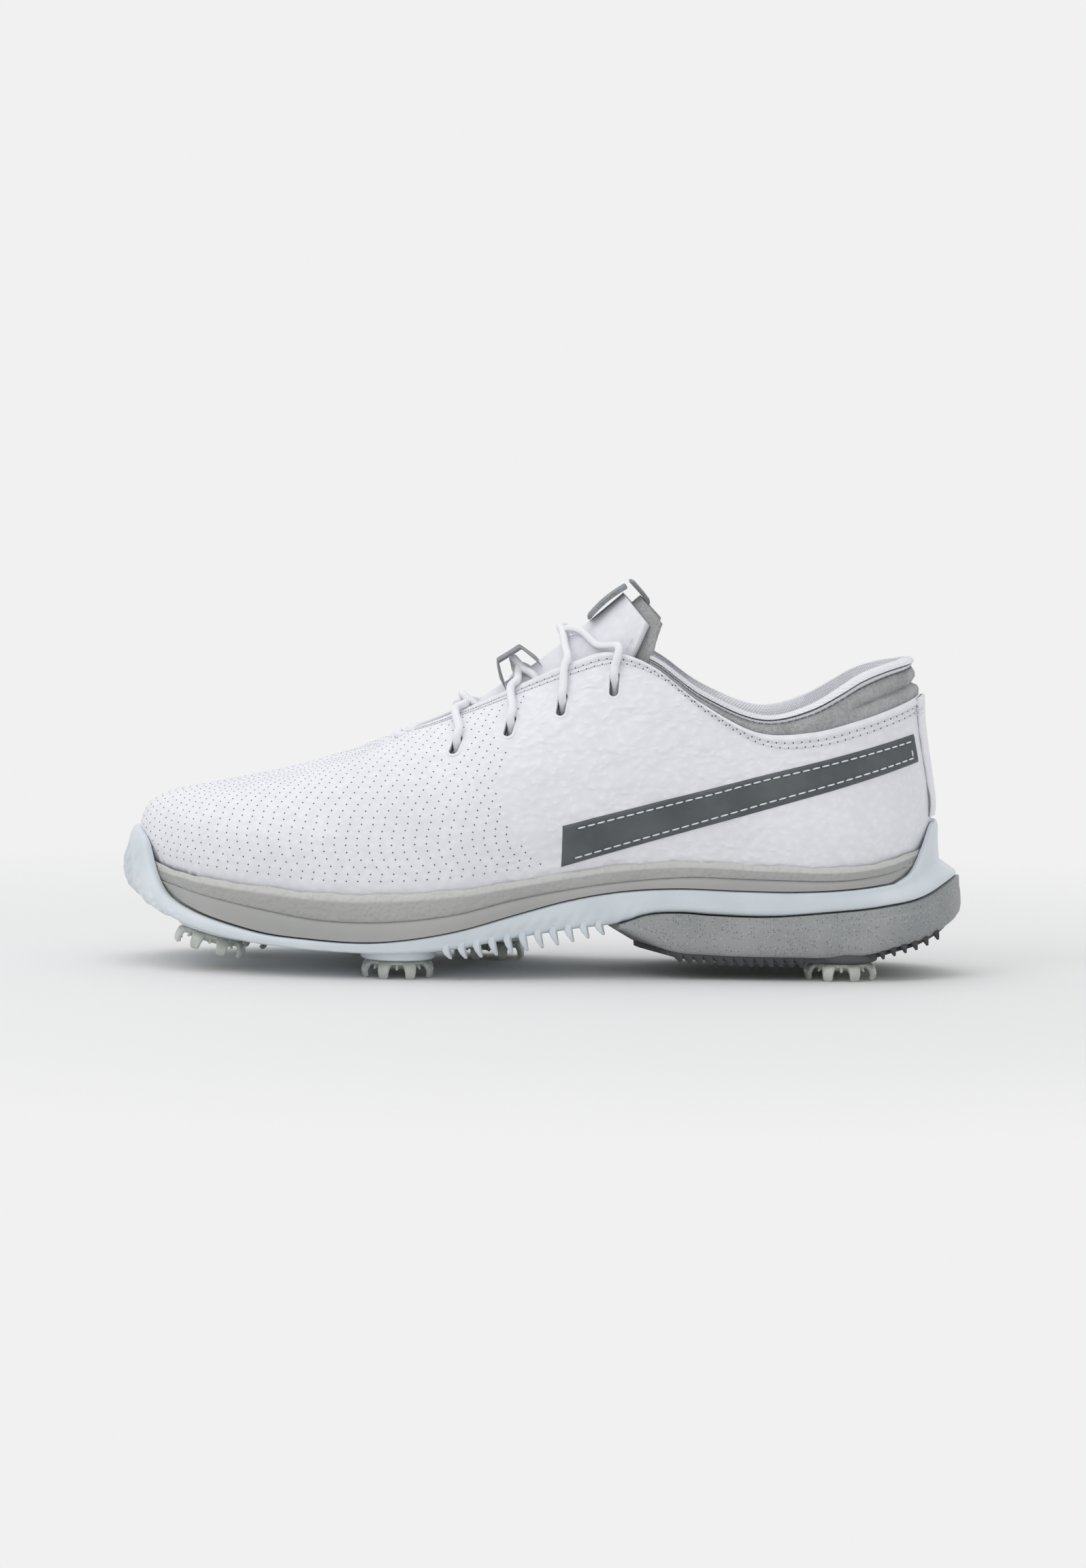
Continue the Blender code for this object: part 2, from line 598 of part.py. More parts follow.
def build_collar():
    columns = columns_between(0.66, 1)
    suede_out = [(-1.8, -5.6, 0), (-1.8, -3, 0), (-1.8, -0.6, 0), (-0.9, 0.8, 0.1), (-0.7, 0, 0.45),
                 (-1.6, 0, 0.72), (-3, 0, 0.86)]
    suede_in = [(-2.7, -5.6, 0), (-2.7, -3, 0), (-2.7, -0.6, 0), (-1.9, 0.6, 0.1), (-1.7, 0, 0.42),
                (-2.5, 0, 0.66), (-3.5, -0.6, 0.8)]
    strip_solid("collar_suede", [collar_columns(i, suede_out) for i in columns],
                [collar_columns(i, suede_in) for i in columns], "suede")
    foam_out = [(-3.1, -5.2, 0), (-3.1, -1, 0), (-2.3, 0.2, 0.15), (-2.1, -0.4, 0.42), (-3.4, -1, 0.68)]
    foam_in = [(-7.4, -5.2, 0), (-7.6, -1, 0), (-7.8, 0.2, 0.15), (-7.4, -0.6, 0.42), (-5.4, -1.2, 0.66)]
    strip_solid("collar_foam", [collar_columns(i, foam_out) for i in columns],
                [collar_columns(i, foam_in) for i in columns], "foam")
    rows = rows_between(0.05, 0.72)

    def depth(t, v):
        return 4.3 + 3.6 * smooth_step(0.2, 0.7, v) * smooth_step(0.64, 0.78, t)

    def inner_depth(t, v):
        return depth(t, v) + 0.9

    roll_out = [(-8.5, -6, 0), (-8.6, -0.5, 0), (-8.5, 0, 0.35), (-6.6, 0, 0.78), (-4.4, 0, 0.92)]
    roll_in = [(-9.7, -6, 0), (-9.9, -0.5, 0), (-9.7, 0.6, 0.4), (-7.3, 0, 1), (-4.8, 0, 1.06)]
    strip_solid("quarter_lining",
                [a + collar_columns(i, roll_out) for a, i in zip(layer(columns, rows, depth), columns)],
                [a + collar_columns(i, roll_in) for a, i in zip(layer(columns, rows, inner_depth), columns)],
                "twill")


def build_heel_strip():
    """Back strip sewn over the heel seam."""
    columns = columns_between(0.96, 1)
    rows = rows_between(0.22, 1)
    strip_solid("heel_strip", layer(columns, rows, -1.6), layer(columns, rows, -GAP), "leather")


STRIPE_TOP = ((134, 87.4), (-6, 51.5))       # line of the band's upper edge, (x, z)
STRIPE_BOTTOM = ((134, 77), (-6, 36.5))
STRIPE_SPAN = (0.515, 0.94)                  # its front and back stations


def build_stripes():
    """Plain tapered band from the heel down to the sole at the arch, one on each side."""

    def height_at(line, t, side):
        (x0, z0), (x1, z1) = line
        low, high = 0.03, 0.98
        for _ in range(24):
            v = (low + high) / 2
            p = upper_point(t, v, side)
            above = p[2] > z0 + (z1 - z0) * (p[0] - x0) / (x1 - x0)
            low, high = (low, v) if above else (v, high)
        return v

    for side, word in ((-1, "lateral"), (1, "medial")):
        outer, inner = [], []
        for t in np.linspace(*STRIPE_SPAN, 17):
            low, high = height_at(STRIPE_BOTTOM, t, side), height_at(STRIPE_TOP, t, side)
            rows = [upper_frame(t, low + (high - low) * r / 4, side) for r in range(5)]
            outer.append([p + n * (GAP + 1.0) for p, n, _ in rows])
            inner.append([p + n * (GAP + 0.05) for p, n, _ in rows])
        strip_solid("side_band_" + word, outer, inner, "stripe")


# ------------------------------------------------------------------ sole
def build_inner_sole():
    def deep(drop):
        return lambda t: feather_z(t) - drop

    def board(t):
        return 6.3 + 2.9 * in_clip(t)

    ring_solid("strobel_board", [ring(-140, 134.6, board, deep(TUCK_DEPTH + 0.1)),
                                 ring(-140, 134.6, board, deep(TUCK_DEPTH - 1.1))], "board")
    ring_solid("insole", [ring(-137.3, 131.4, 9.2, deep(3.8)), ring(-137.6, 131.8, 8.9, deep(1.5)),
                          ring(-137.8, 132, 8.7, deep(-0.5))], "twill")


CUSHION_UNITS = (("cushion_unit_forefoot", -55, 78, 60, 18.2, 23.3),   # name, x, length, width,
                 ("cushion_unit_heel", 88, 50, 38, 29.9, 34.2))        # bottom, top
POCKET_ROOM = 0.8
POCKET_RISE = 12           # the pocket is open at the top


def air_unit(name, x, y, length, width, low, high, finish, group=None):
    """Cushion unit, or the pocket for it."""
    shape = bmesh.new()
    bmesh.ops.create_cone(shape, cap_ends=True, segments=32, radius1=0.5, radius2=0.5, depth=1)
    place = Matrix.Translation((x, y, (low + high) / 2)) @ Matrix.Diagonal((length, width, high - low, 1))
    bmesh.ops.transform(shape, matrix=place, verts=shape.verts)
    verts = [tuple(v.co) for v in shape.verts]
    faces = [tuple(v.index for v in f.verts) for f in shape.faces]
    shape.free()
    return add_mesh(name, verts, faces, finish, group)


def midsole_wall(t):
    """Inset of the midsole's wall, which steps in behind the plate's bumper and heel cup."""
    return 0.3 + 4.1 * max(1 - smooth_step(0.1, 0.19, t), smooth_step(0.84, 0.91, t))


def midsole_rim(t):
    return 2.6 + 2.9 * in_clip(t)


def build_midsole():
    def base(t):
        return min(bed_z(t) + GAP, crease_z(t) - 2)

    def step(t):
        return min(plate_top(t) + 2 * GAP, crease_z(t) - 0.8)

    def bed(t):
        return feather_z(t) - TUCK_DEPTH - 0.4

    midsole = ring_solid("midsole", [
        ring(-144.7, 139.3, 4.8, base), ring(-144.8, 139.4, 4.4, step),
        ring(-144.9, 139.6, midsole_wall, lambda t: step(t) + 0.02),
        ring(-145, 139.6, lambda t: midsole_wall(t) + 0.3, crease_z),
        ring(-145, 139.6, lambda t: midsole_wall(t) + 0.2, feather_z),
        ring(-144, 138.6, midsole_rim, feather_z),
        ring(-143.9, 138.5, lambda t: midsole_rim(t) + 0.3, bed)], "midsole")
    for name, x, length, width, low, high in CUSHION_UNITS:
        air_unit(name, x, 0, length, width, low, high, "air")
        pocket = air_unit(name + "_pocket", x, 0, length + POCKET_ROOM, width + POCKET_ROOM,
                          low - GAP, high + POCKET_RISE, None, cutters)
        boolean(midsole, pocket, "DIFFERENCE")


def spike_place(name):
    """Matrix of a spike: origin on its axis at the boss face, local Z into the shoe."""
    x, y, z, tilt = SPIKES[name]
    return Matrix.Translation((x * MM, y * MM, z * MM)) @ Matrix.Rotation(math.radians(tilt), 4, "Y")


def cylinder(name, radius, low, high, place, group, segments=20):
    """Round solid along a spike's axis, from low to high in mm above the boss face."""
    item = turned(name, [(0, low), (radius, low), (radius, high), (0, high)][::-1], None, segments, group)
    item.matrix_world = place
    return item


def build_fins():
    """Raked fins under both edges of the plate at the arch, one cutter mesh for a union."""
    verts, faces = [], []
    for side in (-1, 1):
        for k in range(11):
            x = -34 + 5.4 * k
            if side > 0 and x < -2:
                continue
            t = station(x)
            low = plate_bottom(t)
            drop = 2.2 + 2.6 * math.sin(math.pi * (k + 1) / 12)
            corners = []
            profile = ((0.9, low + 2.2), (0.6, low + 0.6), (2.0, low - drop),
                       (9, low - drop * 0.7), (13, low + 1.5))
            for inset, z in profile:
                px, py = plan(t, side, -LENGTH / 2, LENGTH / 2, inset)
                corners.append((px, py, z))
            first = len(verts)
            lean = 2.2
            for dx, slant in ((-1.2, -lean), (1.2, -lean + 0.4)):
                for n, (px, py, z) in enumerate(corners):
                    shift = slant * (1 if n in (2, 3) else 0)
                    verts.append((px + dx * (0.45 if n in (2, 3) else 1) - shift, py, z))
            count = len(corners)
            faces.append(tuple(first + n for n in range(count)))
            faces.append(tuple(first + count + n for n in reversed(range(count))))
            for n in range(count):
                m = (n + 1) % count
                faces.append((first + n, first + m, first + count + m, first + count + n))
    return add_mesh("plate_fin_cutter", verts, faces, None, cutters)


def build_plate():
    plate = ring_solid("outsole_plate", [
        ring(-143, 147.3, 5.5, plate_bottom),
        ring(-149.5, 149, 1.6, plate_share(0.18, 0.1, 0.03)),
        ring(-151, 148.4, 0.9, plate_share(0.42, 0.4, 0.1)),
        ring(-150.2, 142.8, 0.7, plate_share(0.72, 0.75, 0.3)),
        ring(-148, 142.2, 0.9, plate_top),
        ring(-145.4, 140.1, 3.5, plate_top), ring(-145.2, 140.0, 4.0, bed_z)], "plate")
    boolean(plate, build_fins(), "UNION")
    for name in SPIKES:
        place = spike_place(name)
        if not name.startswith("heel"):
            x, _, z, _ = SPIKES[name]
            height = max(BOSS_H, plate_bottom(station(x)) + GAP - z)
            boolean(plate, cylinder("boss_" + name, BOSS_R, 0, height, place, cutters), "UNION")
            pocket = cylinder("pocket_" + name, SOCKET_R + GAP, -1, SOCKET_H + GAP, place, cutters, 12)
            boolean(plate, pocket, "DIFFERENCE")


def build_heel():
    """Wedge of foam under the heel and the rubber tread that carries its two spikes."""
    start, front = WEDGE_START, TREAD_START

    def under(drop):
        return lambda t: wedge_bottom(t) - drop

    def top(t):
        return plate_bottom(t) - GAP

    def between(share):
        return lambda t: wedge_bottom(t) + share * (top(t) - wedge_bottom(t))

    wedge = ring_solid("heel_wedge", [
        ring(-LENGTH / 2, 146, 3, under(0), start), ring(-LENGTH / 2, 149.6, 0.8, between(0.1), start),
        ring(-LENGTH / 2, 151, 0, between(0.35), start), ring(-LENGTH / 2, 150.6, 0.1, between(0.7), start),
        ring(-LENGTH / 2, 149.2, 1.2, top, start)], "wedge")
    tread = ring_solid("heel_tread", [
        ring(-LENGTH / 2, 146, 3.6, under(1.8), front),
        ring(-LENGTH / 2, 146, 3.3, under(GAP), front)], "tread")
    for name in ("heel_lateral", "heel_medial"):
        place = spike_place(name)
        pocket = cylinder("pocket_" + name, SOCKET_R + GAP, -1, SOCKET_H + GAP, place, cutters, 12)
        boolean(wedge, pocket, "DIFFERENCE")
        boolean(tread, cylinder("boss_" + name, BOSS_R, 0, 1.2, place, cutters), "UNION")
        boolean(tread, pocket, "DIFFERENCE")


# ------------------------------------------------------------------ spikes
SOCKET_PROFILE = [(0, SOCKET_H), (SOCKET_R, SOCKET_H), (SOCKET_R, 0), (STUD_R + GAP, 0),
                  (STUD_R + GAP, STUD_H + GAP), (0, STUD_H + GAP)]


def build_spike_mesh():
    """Soft spike: round hub with a stud above and legs that spread down to the floor."""
    top = -GAP
    profile = [(0, STUD_H - GAP), (STUD_R, STUD_H - GAP), (STUD_R, top), (SPIKE_R - 2, top),
               (SPIKE_R - 1.6, top - 1.2), (8, top - 3.2), (0, top - 3.4)]
    hub = turned("spike_hub_former", profile, "spike", 16, cutters)
    floor = top - SPIKE_H
    leg = ((6, top - 2, 2.2), (SPIKE_R - 2.2, top - 0.6, 2.6), (SPIKE_R - 0.4, top - 3, 2.3),
           (SPIKE_R, floor, 1.6), (SPIKE_R - 2.4, floor, 1.5), (8, top - 3.8, 1.9))    # radius, z, half width
    verts, faces = [], []
    for k in range(LEGS):
        turn = Matrix.Rotation(2 * math.pi * (k + 0.5) / LEGS, 4, "Z")
        first = len(verts)
        for radius, z, half in leg:
            for edge in (-half, half):
                verts.append(turn @ Vector((radius, edge, z)))
        count = len(leg)
        faces.append(tuple(first + 2 * n for n in range(count)))
        faces.append(tuple(first + 2 * n + 1 for n in reversed(range(count))))
        for n in range(count):
            m = (n + 1) % count
            faces.append((first + 2 * n, first + 2 * m, first + 2 * m + 1, first + 2 * n + 1))
    legs = add_mesh("spike_leg_former", verts, faces, "spike", cutters)
    boolean(hub, legs, "UNION")
    return evaluated_mesh(hub)


def build_spikes():
    mesh = build_spike_mesh()
    for name in SPIKES:
        spike = bpy.data.objects.new("spike_" + name, mesh)
        shoe.objects.link(spike)
        spike.matrix_world = spike_place(name)
        socket = turned("socket_" + name, SOCKET_PROFILE, "socket")
        socket.matrix_world = spike_place(name)


# ------------------------------------------------------------------ tongue
def tongue_frame(s):
    """Centre, direction and outward normal of the tongue at share s of its length."""
    e = 0.02

    def at(u):
        return np.array((spline(TONGUE, u, 1), 0.0, spline(TONGUE, u, 2)))

    d = at(min(s + e, 1)) - at(max(s - e, 0))
    d /= np.linalg.norm(d)
    return at(s), d, np.array((-d[2], 0.0, d[0]))


def tongue_point(s, q, depth=0.0, wide=1.0):
    """Point of the tongue at share s along and q (-1 to 1) across, depth below its outer face."""
    centre, along, n = tongue_frame(s)
    half, drop = spline(TONGUE, s, 3), spline(TONGUE, s, 4)
    y = half * wide * q
    line = 2.0 * (1 - smooth_step(0, 0.8, s))
    fall = drop * (y / half) ** 2
    slope = 2 * drop * y / half ** 2
    tilt = math.hypot(1, slope)
    inward = n / tilt + np.array((0, slope / tilt, 0))
    return centre + np.array((0, y + line, 0)) - n * fall - inward * depth


def build_tongue():
    for name, (outer, inner, wide) in TONGUE_LAYERS.items():
        finish = {"tongue_leather": "leather", "tongue_foam": "foam", "tongue_lining": "suede"}[name]
        end = 0.965 if name != "tongue_lining" else 1.0
        spots = [end * k / 11 for k in range(12)]
        across = [q / 4 for q in range(-4, 5)]
        strip_solid(name, [[tongue_point(s, q, outer, wide) for q in across] for s in spots],
                    [[tongue_point(s, q, inner, wide) for q in across] for s in spots], finish)


KEEPER_HALF = 6.0
KEEPER_SPAN = (0.475, 0.6)
KEEPER_RISE = 6.7


def build_keeper():
    """Loop of suede on the tongue that the laces pass under."""

    def sheet(lift):
        grid = []
        for k in range(13):
            u = k / 12
            s = KEEPER_SPAN[0] + (KEEPER_SPAN[1] - KEEPER_SPAN[0]) * u
            arch = min(1.0, math.sin(math.pi * u) * 1.6)
            row = []
            for y in (-KEEPER_HALF, 0, KEEPER_HALF):
                half = spline(TONGUE, s, 3)
                base = tongue_point(s, y / half, -(0.8 + lift))
                _, ahead, n = tongue_frame(s)
                level = spline(TONGUE, s, 4) * (y / half) ** 2
                row.append(base + n * (KEEPER_RISE + level) * arch - ahead * 1.1 * (0.5 - u) * 2 * arch)
            grid.append(row)
        return grid

    strip_solid("lace_keeper", sheet(1.2), sheet(0), "suede")


TAB_START = 0.83
TAB_HALF = 8.0


def over_tongue(s, y, lift):
    """Point of a strip that lies level across the tongue, lift above its middle."""
    return tongue_point(s, 0.0, -lift) + np.array((0, y, 0))


def build_tab():
    """Suede tab sewn over the tongue's top edge: its back part, and the flap that lifts."""
    flap_out, flap_in = [], []
    across = [y / 3 for y in range(-3, 4)]
    for k in range(9):
        s = TAB_START + (0.985 - TAB_START) * k / 8
        lift = 0.5 + 0.9 * math.sin(math.pi * k / 8)
        flap_out.append([over_tongue(s, y * TAB_HALF, lift + 1.5) for y in across])
        flap_in.append([over_tongue(s, y * TAB_HALF, lift) for y in across])
    strip_solid("tongue_tab_flap", flap_out, flap_in, "suede")
    ahead = tongue_frame(1.0)[1]
    half = spline(TONGUE, 1.0, 3)
    fold_out, fold_in = [], []
    for y in across:
        q = y * TAB_HALF / half
        top, low = over_tongue(1.0, y * TAB_HALF, 2.0), tongue_point(1.0, q, 8.1)
        back = tongue_point(0.9, q, 8.1)
        top_in, low_in = over_tongue(1.0, y * TAB_HALF, 0.4), tongue_point(1.0, q, 6.2)
        back_in = tongue_point(0.9, q, 6.2)
        fold_out.append([top + ahead * GAP, top + ahead * 1.6, low + ahead * 1.6, back])
        fold_in.append([top_in + ahead * GAP, top_in + ahead * 0.45, low_in + ahead * 0.45, back_in])
    strip_solid("tongue_tab_back", fold_out, fold_in, "suede")


# ------------------------------------------------------------------ laces
def edge_frame(x, side):
    """Point of the eyestay's edge at x, with the outward normal and upward direction there."""
    low, high = 0.2, 0.62
    for _ in range(24):
        t = (low + high) / 2
        low, high = (t, high) if top_point(t, side)[0] < x else (low, t)
    return upper_frame(t, 0.985, side)


def above_tongue(x, y, lift):
    """Point over the tongue's outer face nearest to x and y in plan."""
    best = None
    for k in range(101):
        s = k / 100
        line = 2.0 * (1 - smooth_step(0, 0.8, s))
        q = max(-1, min(1, (y - line) / spline(TONGUE, s, 3)))
        miss = abs(tongue_point(s, q)[0] - x)
        if best is None or miss < best[0]:
            best = (miss, s, q)
    return tongue_point(best[1], best[2], -lift)


def tongue_clearance(point, lift):
    """Move that takes a point out to the given height over the tongue, or none if it is clear."""
    face = above_tongue(point[0], point[1], 0.0)
    short = face[2] + lift / 0.75 - point[2]
    return np.array((0, 0, max(short, 0.0)))


OUT = LACE_D / 2 + LACE_CLEAR            # lace centre above a face
UNDER = VAMP_LINING[1] + OUT             # lace centre below the upper's outer face
CROSSING_DIP = (0.0, 1.5, 2.5, 8.0)      # how far each crossing lies towards the toe at its middle


def lace_run(k, side, stack, last=False):
    """Hand-placed points from slot k on one side to the next slot on the other side."""
    p, n, up = SLOT_FRAMES[side][k]
    q, m, rise = SLOT_FRAMES[-side][k + 1]
    points = []
    leave = p[0] + 1.5
    if k == 0:
        edge, en, eu = edge_frame(p[0] + 8, side)
        points += [p - n * (UNDER + 0.8) + up * 2.5, edge - en * (UNDER + 0.8) - eu * 3.5]
    else:
        edge, en, eu = edge_frame(leave, side)
        points += [p - n * (UNDER - 0.5) - up * 0.5, p - n * 1.6 + up * 0.9, p + n * (OUT - 0.1) + up * 3.0,
                   p + n * (OUT + 0.2) + up * 6.0, edge + en * (OUT + 0.6) - eu * 1.0,
                   edge + en * (OUT - 0.2) + eu * (OUT + 1.0)]
    enter = q[0] - (7.5 if not last else -1.0)
    far, fn, fu = edge_frame(enter, -side)
    start = points[-1]
    finish = far if last else far - fn * (UNDER + 1.0) - fu * 3.0
    lift = OUT + 0.8 + stack * (LACE_D + LACE_CLEAR)
    middle = above_tongue((start[0] + far[0]) / 2 - CROSSING_DIP[k], (start[1] + far[1]) / 2, lift)
    for low, high, share in ((start, middle, 0.4), (start, middle, 0.72), (start, middle, 1.0),
                             (middle, finish, 0.28), (middle, finish, 0.6)):
        point = low + (high - low) * share
        points.append(point + tongue_clearance(point, OUT + 0.9))
    if last:
        points += [far + fn * (OUT - 0.2) + fu * (OUT + 1.0), far + fn * (OUT + 0.6) - fu * 1.0,
                   q + m * (OUT + 0.2) + rise * 6.0, q + m * (OUT - 0.1) + rise * 3.0,
                   q - m * 1.6 + rise * 0.9]
    else:
        points += [far - fn * (UNDER + 1.0) - fu * 3.0, q - m * (UNDER + 0.9) + rise * 3.0]
    return points


def smooth_route(points, count):
    """Points of a smooth curve through the route's own points, closer together in its bends."""
    chord = [0.0]
    for a, b in zip(points, points[1:]):
        chord.append(chord[-1] + max(np.linalg.norm(b - a), 1e-6) ** 0.5)
    rows = [(u, *p) for u, p in zip(chord, points)]
    fine = np.array([[spline(rows, u, c) for c in (1, 2, 3)]
                     for u in np.linspace(0, chord[-1], ROUTE_STEPS)])
    steps = np.diff(fine, axis=0)
    lengths = np.linalg.norm(steps, axis=1)
    heading = steps / lengths[:, None]
    turn = np.append(np.linalg.norm(np.diff(heading, axis=0), axis=1), 0)
    walked = np.concatenate(([0], np.cumsum(lengths + BEND_WEIGHT * turn)))
    picks = np.linspace(0, walked[-1], count)
    return [fine[min(int(np.searchsorted(walked, at)), ROUTE_STEPS - 1)] for at in picks]


def cord(name, points, finish, count, diameter=LACE_D):
    """Round cord along a route of points in millimetres."""
    route = smooth_route([np.array(p, float) for p in points], count)
    data = bpy.data.curves.new(name, "CURVE")
    data.dimensions = "3D"
    data.bevel_depth = diameter / 2 * MM
    data.bevel_resolution = 2
    data.use_fill_caps = True
    line = data.splines.new("POLY")
    line.points.add(len(route) - 1)
    for point, place in zip(line.points, route):
        point.co = (*(c * MM for c in place), 1)
    data.materials.append(make_material(finish))
    item = bpy.data.objects.new(name, data)
    shoe.objects.link(item)
    return item


def insole_top(x):
    """Height of the insole's face."""
    return spline(FEATHER_Z, x * 1.04) + 0.5


def lace_ends():
    """Last point of the lace inside its top slot, on each side, and the downward direction there."""
    ends = {}
    for side in (-1, 1):
        q, m, rise = SLOT_FRAMES[side][4]
        ends[side] = (q - m * (UNDER + 1.0) - rise * 5.5, -rise, m)
    return ends


def build_laces():
    """One lace, from the slot nearest the toe up both sides, with its two ends tucked inside."""
    parts = []
    for side, stacks in ((-1, (0, 1, 0, 0)), (1, (1, 0, 1, 1))):
        points, here = [], side
        for k in range(4):
            points += lace_run(k, here, stacks[k], last=k == 3)
            here = -here
        end, _, m = LACE_ENDS[here]
        points += [end + m * 0.6 + np.array((0, 0, 4.0)), end]
        parts.append(points)
    bar = []
    for side in (1, -1):
        p, n, up = SLOT_FRAMES[side][0]
        edge, en, eu = edge_frame(p[0] + 1.5, side)
        bar.append([p - n * 1.6 - up * 0.5, p + n * (OUT - 0.2) + up * 2.6, edge + en * OUT - eu * 0.5])
    middle = (bar[0][-1] + bar[1][-1]) / 2 + np.array((0, 0, 1.2))
    cord("lace", parts[1][::-1] + bar[0] + [middle] + bar[1][::-1] + parts[0], "lace", 88)


def build_lace_tails():
    """Free ends of the lace, down inside the quarters and forward along the insole, with aglets."""
    for side, word in ((-1, "lateral"), (1, "medial")):
        end, down, m = LACE_ENDS[side]
        x, y = end[0], end[1]
        points = [end + down * 1.0, end + down * 6 - m * 0.4]
        for share, out in ((0.3, 1.0), (0.6, 2.0), (0.85, 1.0)):
            z = points[0][2] * (1 - share) + (insole_top(x) + OUT) * share
            points.append(np.array((x - 2 - 8 * share, y + side * out, z)))
        for dx, across in TAIL_PLAN:
            points.append(np.array((dx, side * across + 2, insole_top(dx) + OUT + 0.7)))
        cord("lace_tail_" + word, points, "lace", 36)
        last, before = points[-1], points[-2]
        ahead = (last - before) / np.linalg.norm(last - before)
        tip = last + ahead * (GAP + AGLET_LENGTH)
        tip[2] = insole_top(tip[0]) + AGLET_D / 2 + GAP
        cord("aglet_" + word, [last + ahead * GAP, tip], "aglet", 2, AGLET_D)


LACE_ENDS = lace_ends()
build_upper()
build_collar()
build_heel_strip()
build_stripes()
build_inner_sole()
build_midsole()
build_plate()
build_heel()
build_spikes()
build_tongue()
build_keeper()
build_tab()
build_laces()
build_lace_tails()
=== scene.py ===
"""Looks of the left golf shoe, built in the frame of its CAD model. Lengths here are in mm unless
a name or a Blender call needs metres."""

import json
import math

import bmesh
import bpy
import numpy as np
from mathutils import Matrix, Vector

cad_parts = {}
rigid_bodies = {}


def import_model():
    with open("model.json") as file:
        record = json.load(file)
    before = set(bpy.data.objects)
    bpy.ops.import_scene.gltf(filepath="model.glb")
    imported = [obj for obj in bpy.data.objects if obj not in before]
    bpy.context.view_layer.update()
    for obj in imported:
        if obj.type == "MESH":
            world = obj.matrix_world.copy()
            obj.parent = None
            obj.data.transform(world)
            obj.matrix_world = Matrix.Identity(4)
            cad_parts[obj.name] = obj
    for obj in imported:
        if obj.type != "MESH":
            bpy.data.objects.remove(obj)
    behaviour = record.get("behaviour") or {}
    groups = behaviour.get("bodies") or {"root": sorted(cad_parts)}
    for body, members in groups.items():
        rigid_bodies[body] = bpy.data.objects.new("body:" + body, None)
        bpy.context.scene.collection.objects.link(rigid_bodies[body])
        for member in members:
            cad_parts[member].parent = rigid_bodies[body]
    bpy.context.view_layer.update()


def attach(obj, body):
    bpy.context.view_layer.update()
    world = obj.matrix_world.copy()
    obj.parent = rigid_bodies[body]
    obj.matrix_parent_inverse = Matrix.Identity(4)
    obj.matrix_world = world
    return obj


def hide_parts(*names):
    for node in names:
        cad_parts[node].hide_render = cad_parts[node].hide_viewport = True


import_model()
MM = 0.001

# ------------------------------------------------------------------ the CAD model's own tables
LENGTH = 302.0
HALF_REF = 45.0
LATERAL = [(-151, 8), (-145, -12), (-138, -22), (-128, -32), (-115, -40), (-95, -47.5), (-75, -52),
           (-52, -54), (-32, -52.5), (-12, -48.5), (8, -44), (30, -40.5), (55, -38.5), (80, -38),
           (105, -37), (122, -33.5), (135, -26), (144, -16), (151, 0)]
MEDIAL = [(-151, 8), (-145, 26), (-138, 34.5), (-128, 41.5), (-115, 47), (-95, 51.5), (-75, 53.5),
          (-58, 54), (-40, 52), (-20, 46.5), (0, 39.5), (20, 35), (40, 33.5), (60, 34.5),
          (80, 37), (105, 37.5), (122, 34.5), (135, 27), (144, 17), (151, 0)]
FEATHER_Z = [(-144, 40), (-138, 36), (-125, 33.4), (-100, 31), (-75, 29.3), (-50, 29.8), (-25, 32),
             (0, 36), (25, 39.8), (50, 41.5), (80, 40.4), (112, 40.4), (126, 42.6), (137, 46)]
CREASE_Z = [(-144, 32), (-120, 27), (-100, 23.5), (-80, 20.6), (-50, 20.8), (-30, 23.5), (-10, 28.5),
            (10, 32.2), (30, 34.9), (50, 36.5), (80, 36), (112, 36.3), (126, 38.5), (137, 42)]
PLATE_TOP_Z = [(-148, 26.5), (-130, 22.4), (-120, 19.3), (-110, 16.8), (-100, 14.8), (-85, 13.5),
               (-60, 12.9), (-45, 14.5), (-30, 17.3), (-10, 22.8), (10, 28), (30, 31.2), (48, 32.2),
               (70, 31.7), (90, 31.5), (115, 32.8), (130, 34.5), (142, 35.5)]
PLATE_BOTTOM_Z = [(-143, 23), (-128, 18.2), (-115, 14.2), (-100, 11.4), (-85, 10), (-70, 9.2),
                  (-45, 9.1), (-28, 11), (-10, 14.5), (10, 17.6), (28, 20.2), (37, 23.1), (48, 23.9),
                  (60, 23.2), (80, 22.8), (100, 24.4), (120, 26.5), (136, 29.7), (149, 36.6)]
WEDGE_BOTTOM_Z = [(28, 17.8), (37.5, 13.5), (46.5, 9.9), (60, 8.7), (85, 8.2), (105, 8.4),
                  (116, 9.3), (126, 11.7), (136, 14.2), (145.5, 19.2), (151, 24.4)]
TOE_CLIP = [(0, 21.5), (0.05, 21), (0.08, 17.5), (0.1, 9.5), (0.12, 4), (0.15, 0.8), (0.18, 0)]
HEEL_CLIP = [(0.85, 0), (0.89, 4), (0.92, 11.5), (0.95, 18.6), (1, 19)]
TOP_EDGE = [(0, -52, 0, 80.7), (0.15, -52, -3.5, 80.8), (0.27, -50.6, -6.4, 81.6),
            (0.34, -46.2, -8.4, 85.8), (0.4, -37, -10, 89.7), (0.45, -23.5, -12.2, 95.6),
            (0.5, -8, -15.4, 103), (0.55, 8, -18.8, 110.2), (0.6, 23, -22, 114.8),
            (0.65, 38.5, -24.6, 110.2), (0.7, 56, -27.6, 97.5), (0.75, 76, -31.2, 87.4),
            (0.8, 95, -31.6, 87.6), (0.85, 111.5, -26.6, 91.5), (0.9, 124, -18.6, 95.4),
            (0.95, 132.4, -9.6, 98.6), (1, 135.3, 0, 100)]
FEATHER_TOE = -143.4
FEATHER_HEEL = 138.0
SECTION_V = np.array((0, 0.1, 0.2, 0.3, 0.45, 0.6, 0.8, 1))
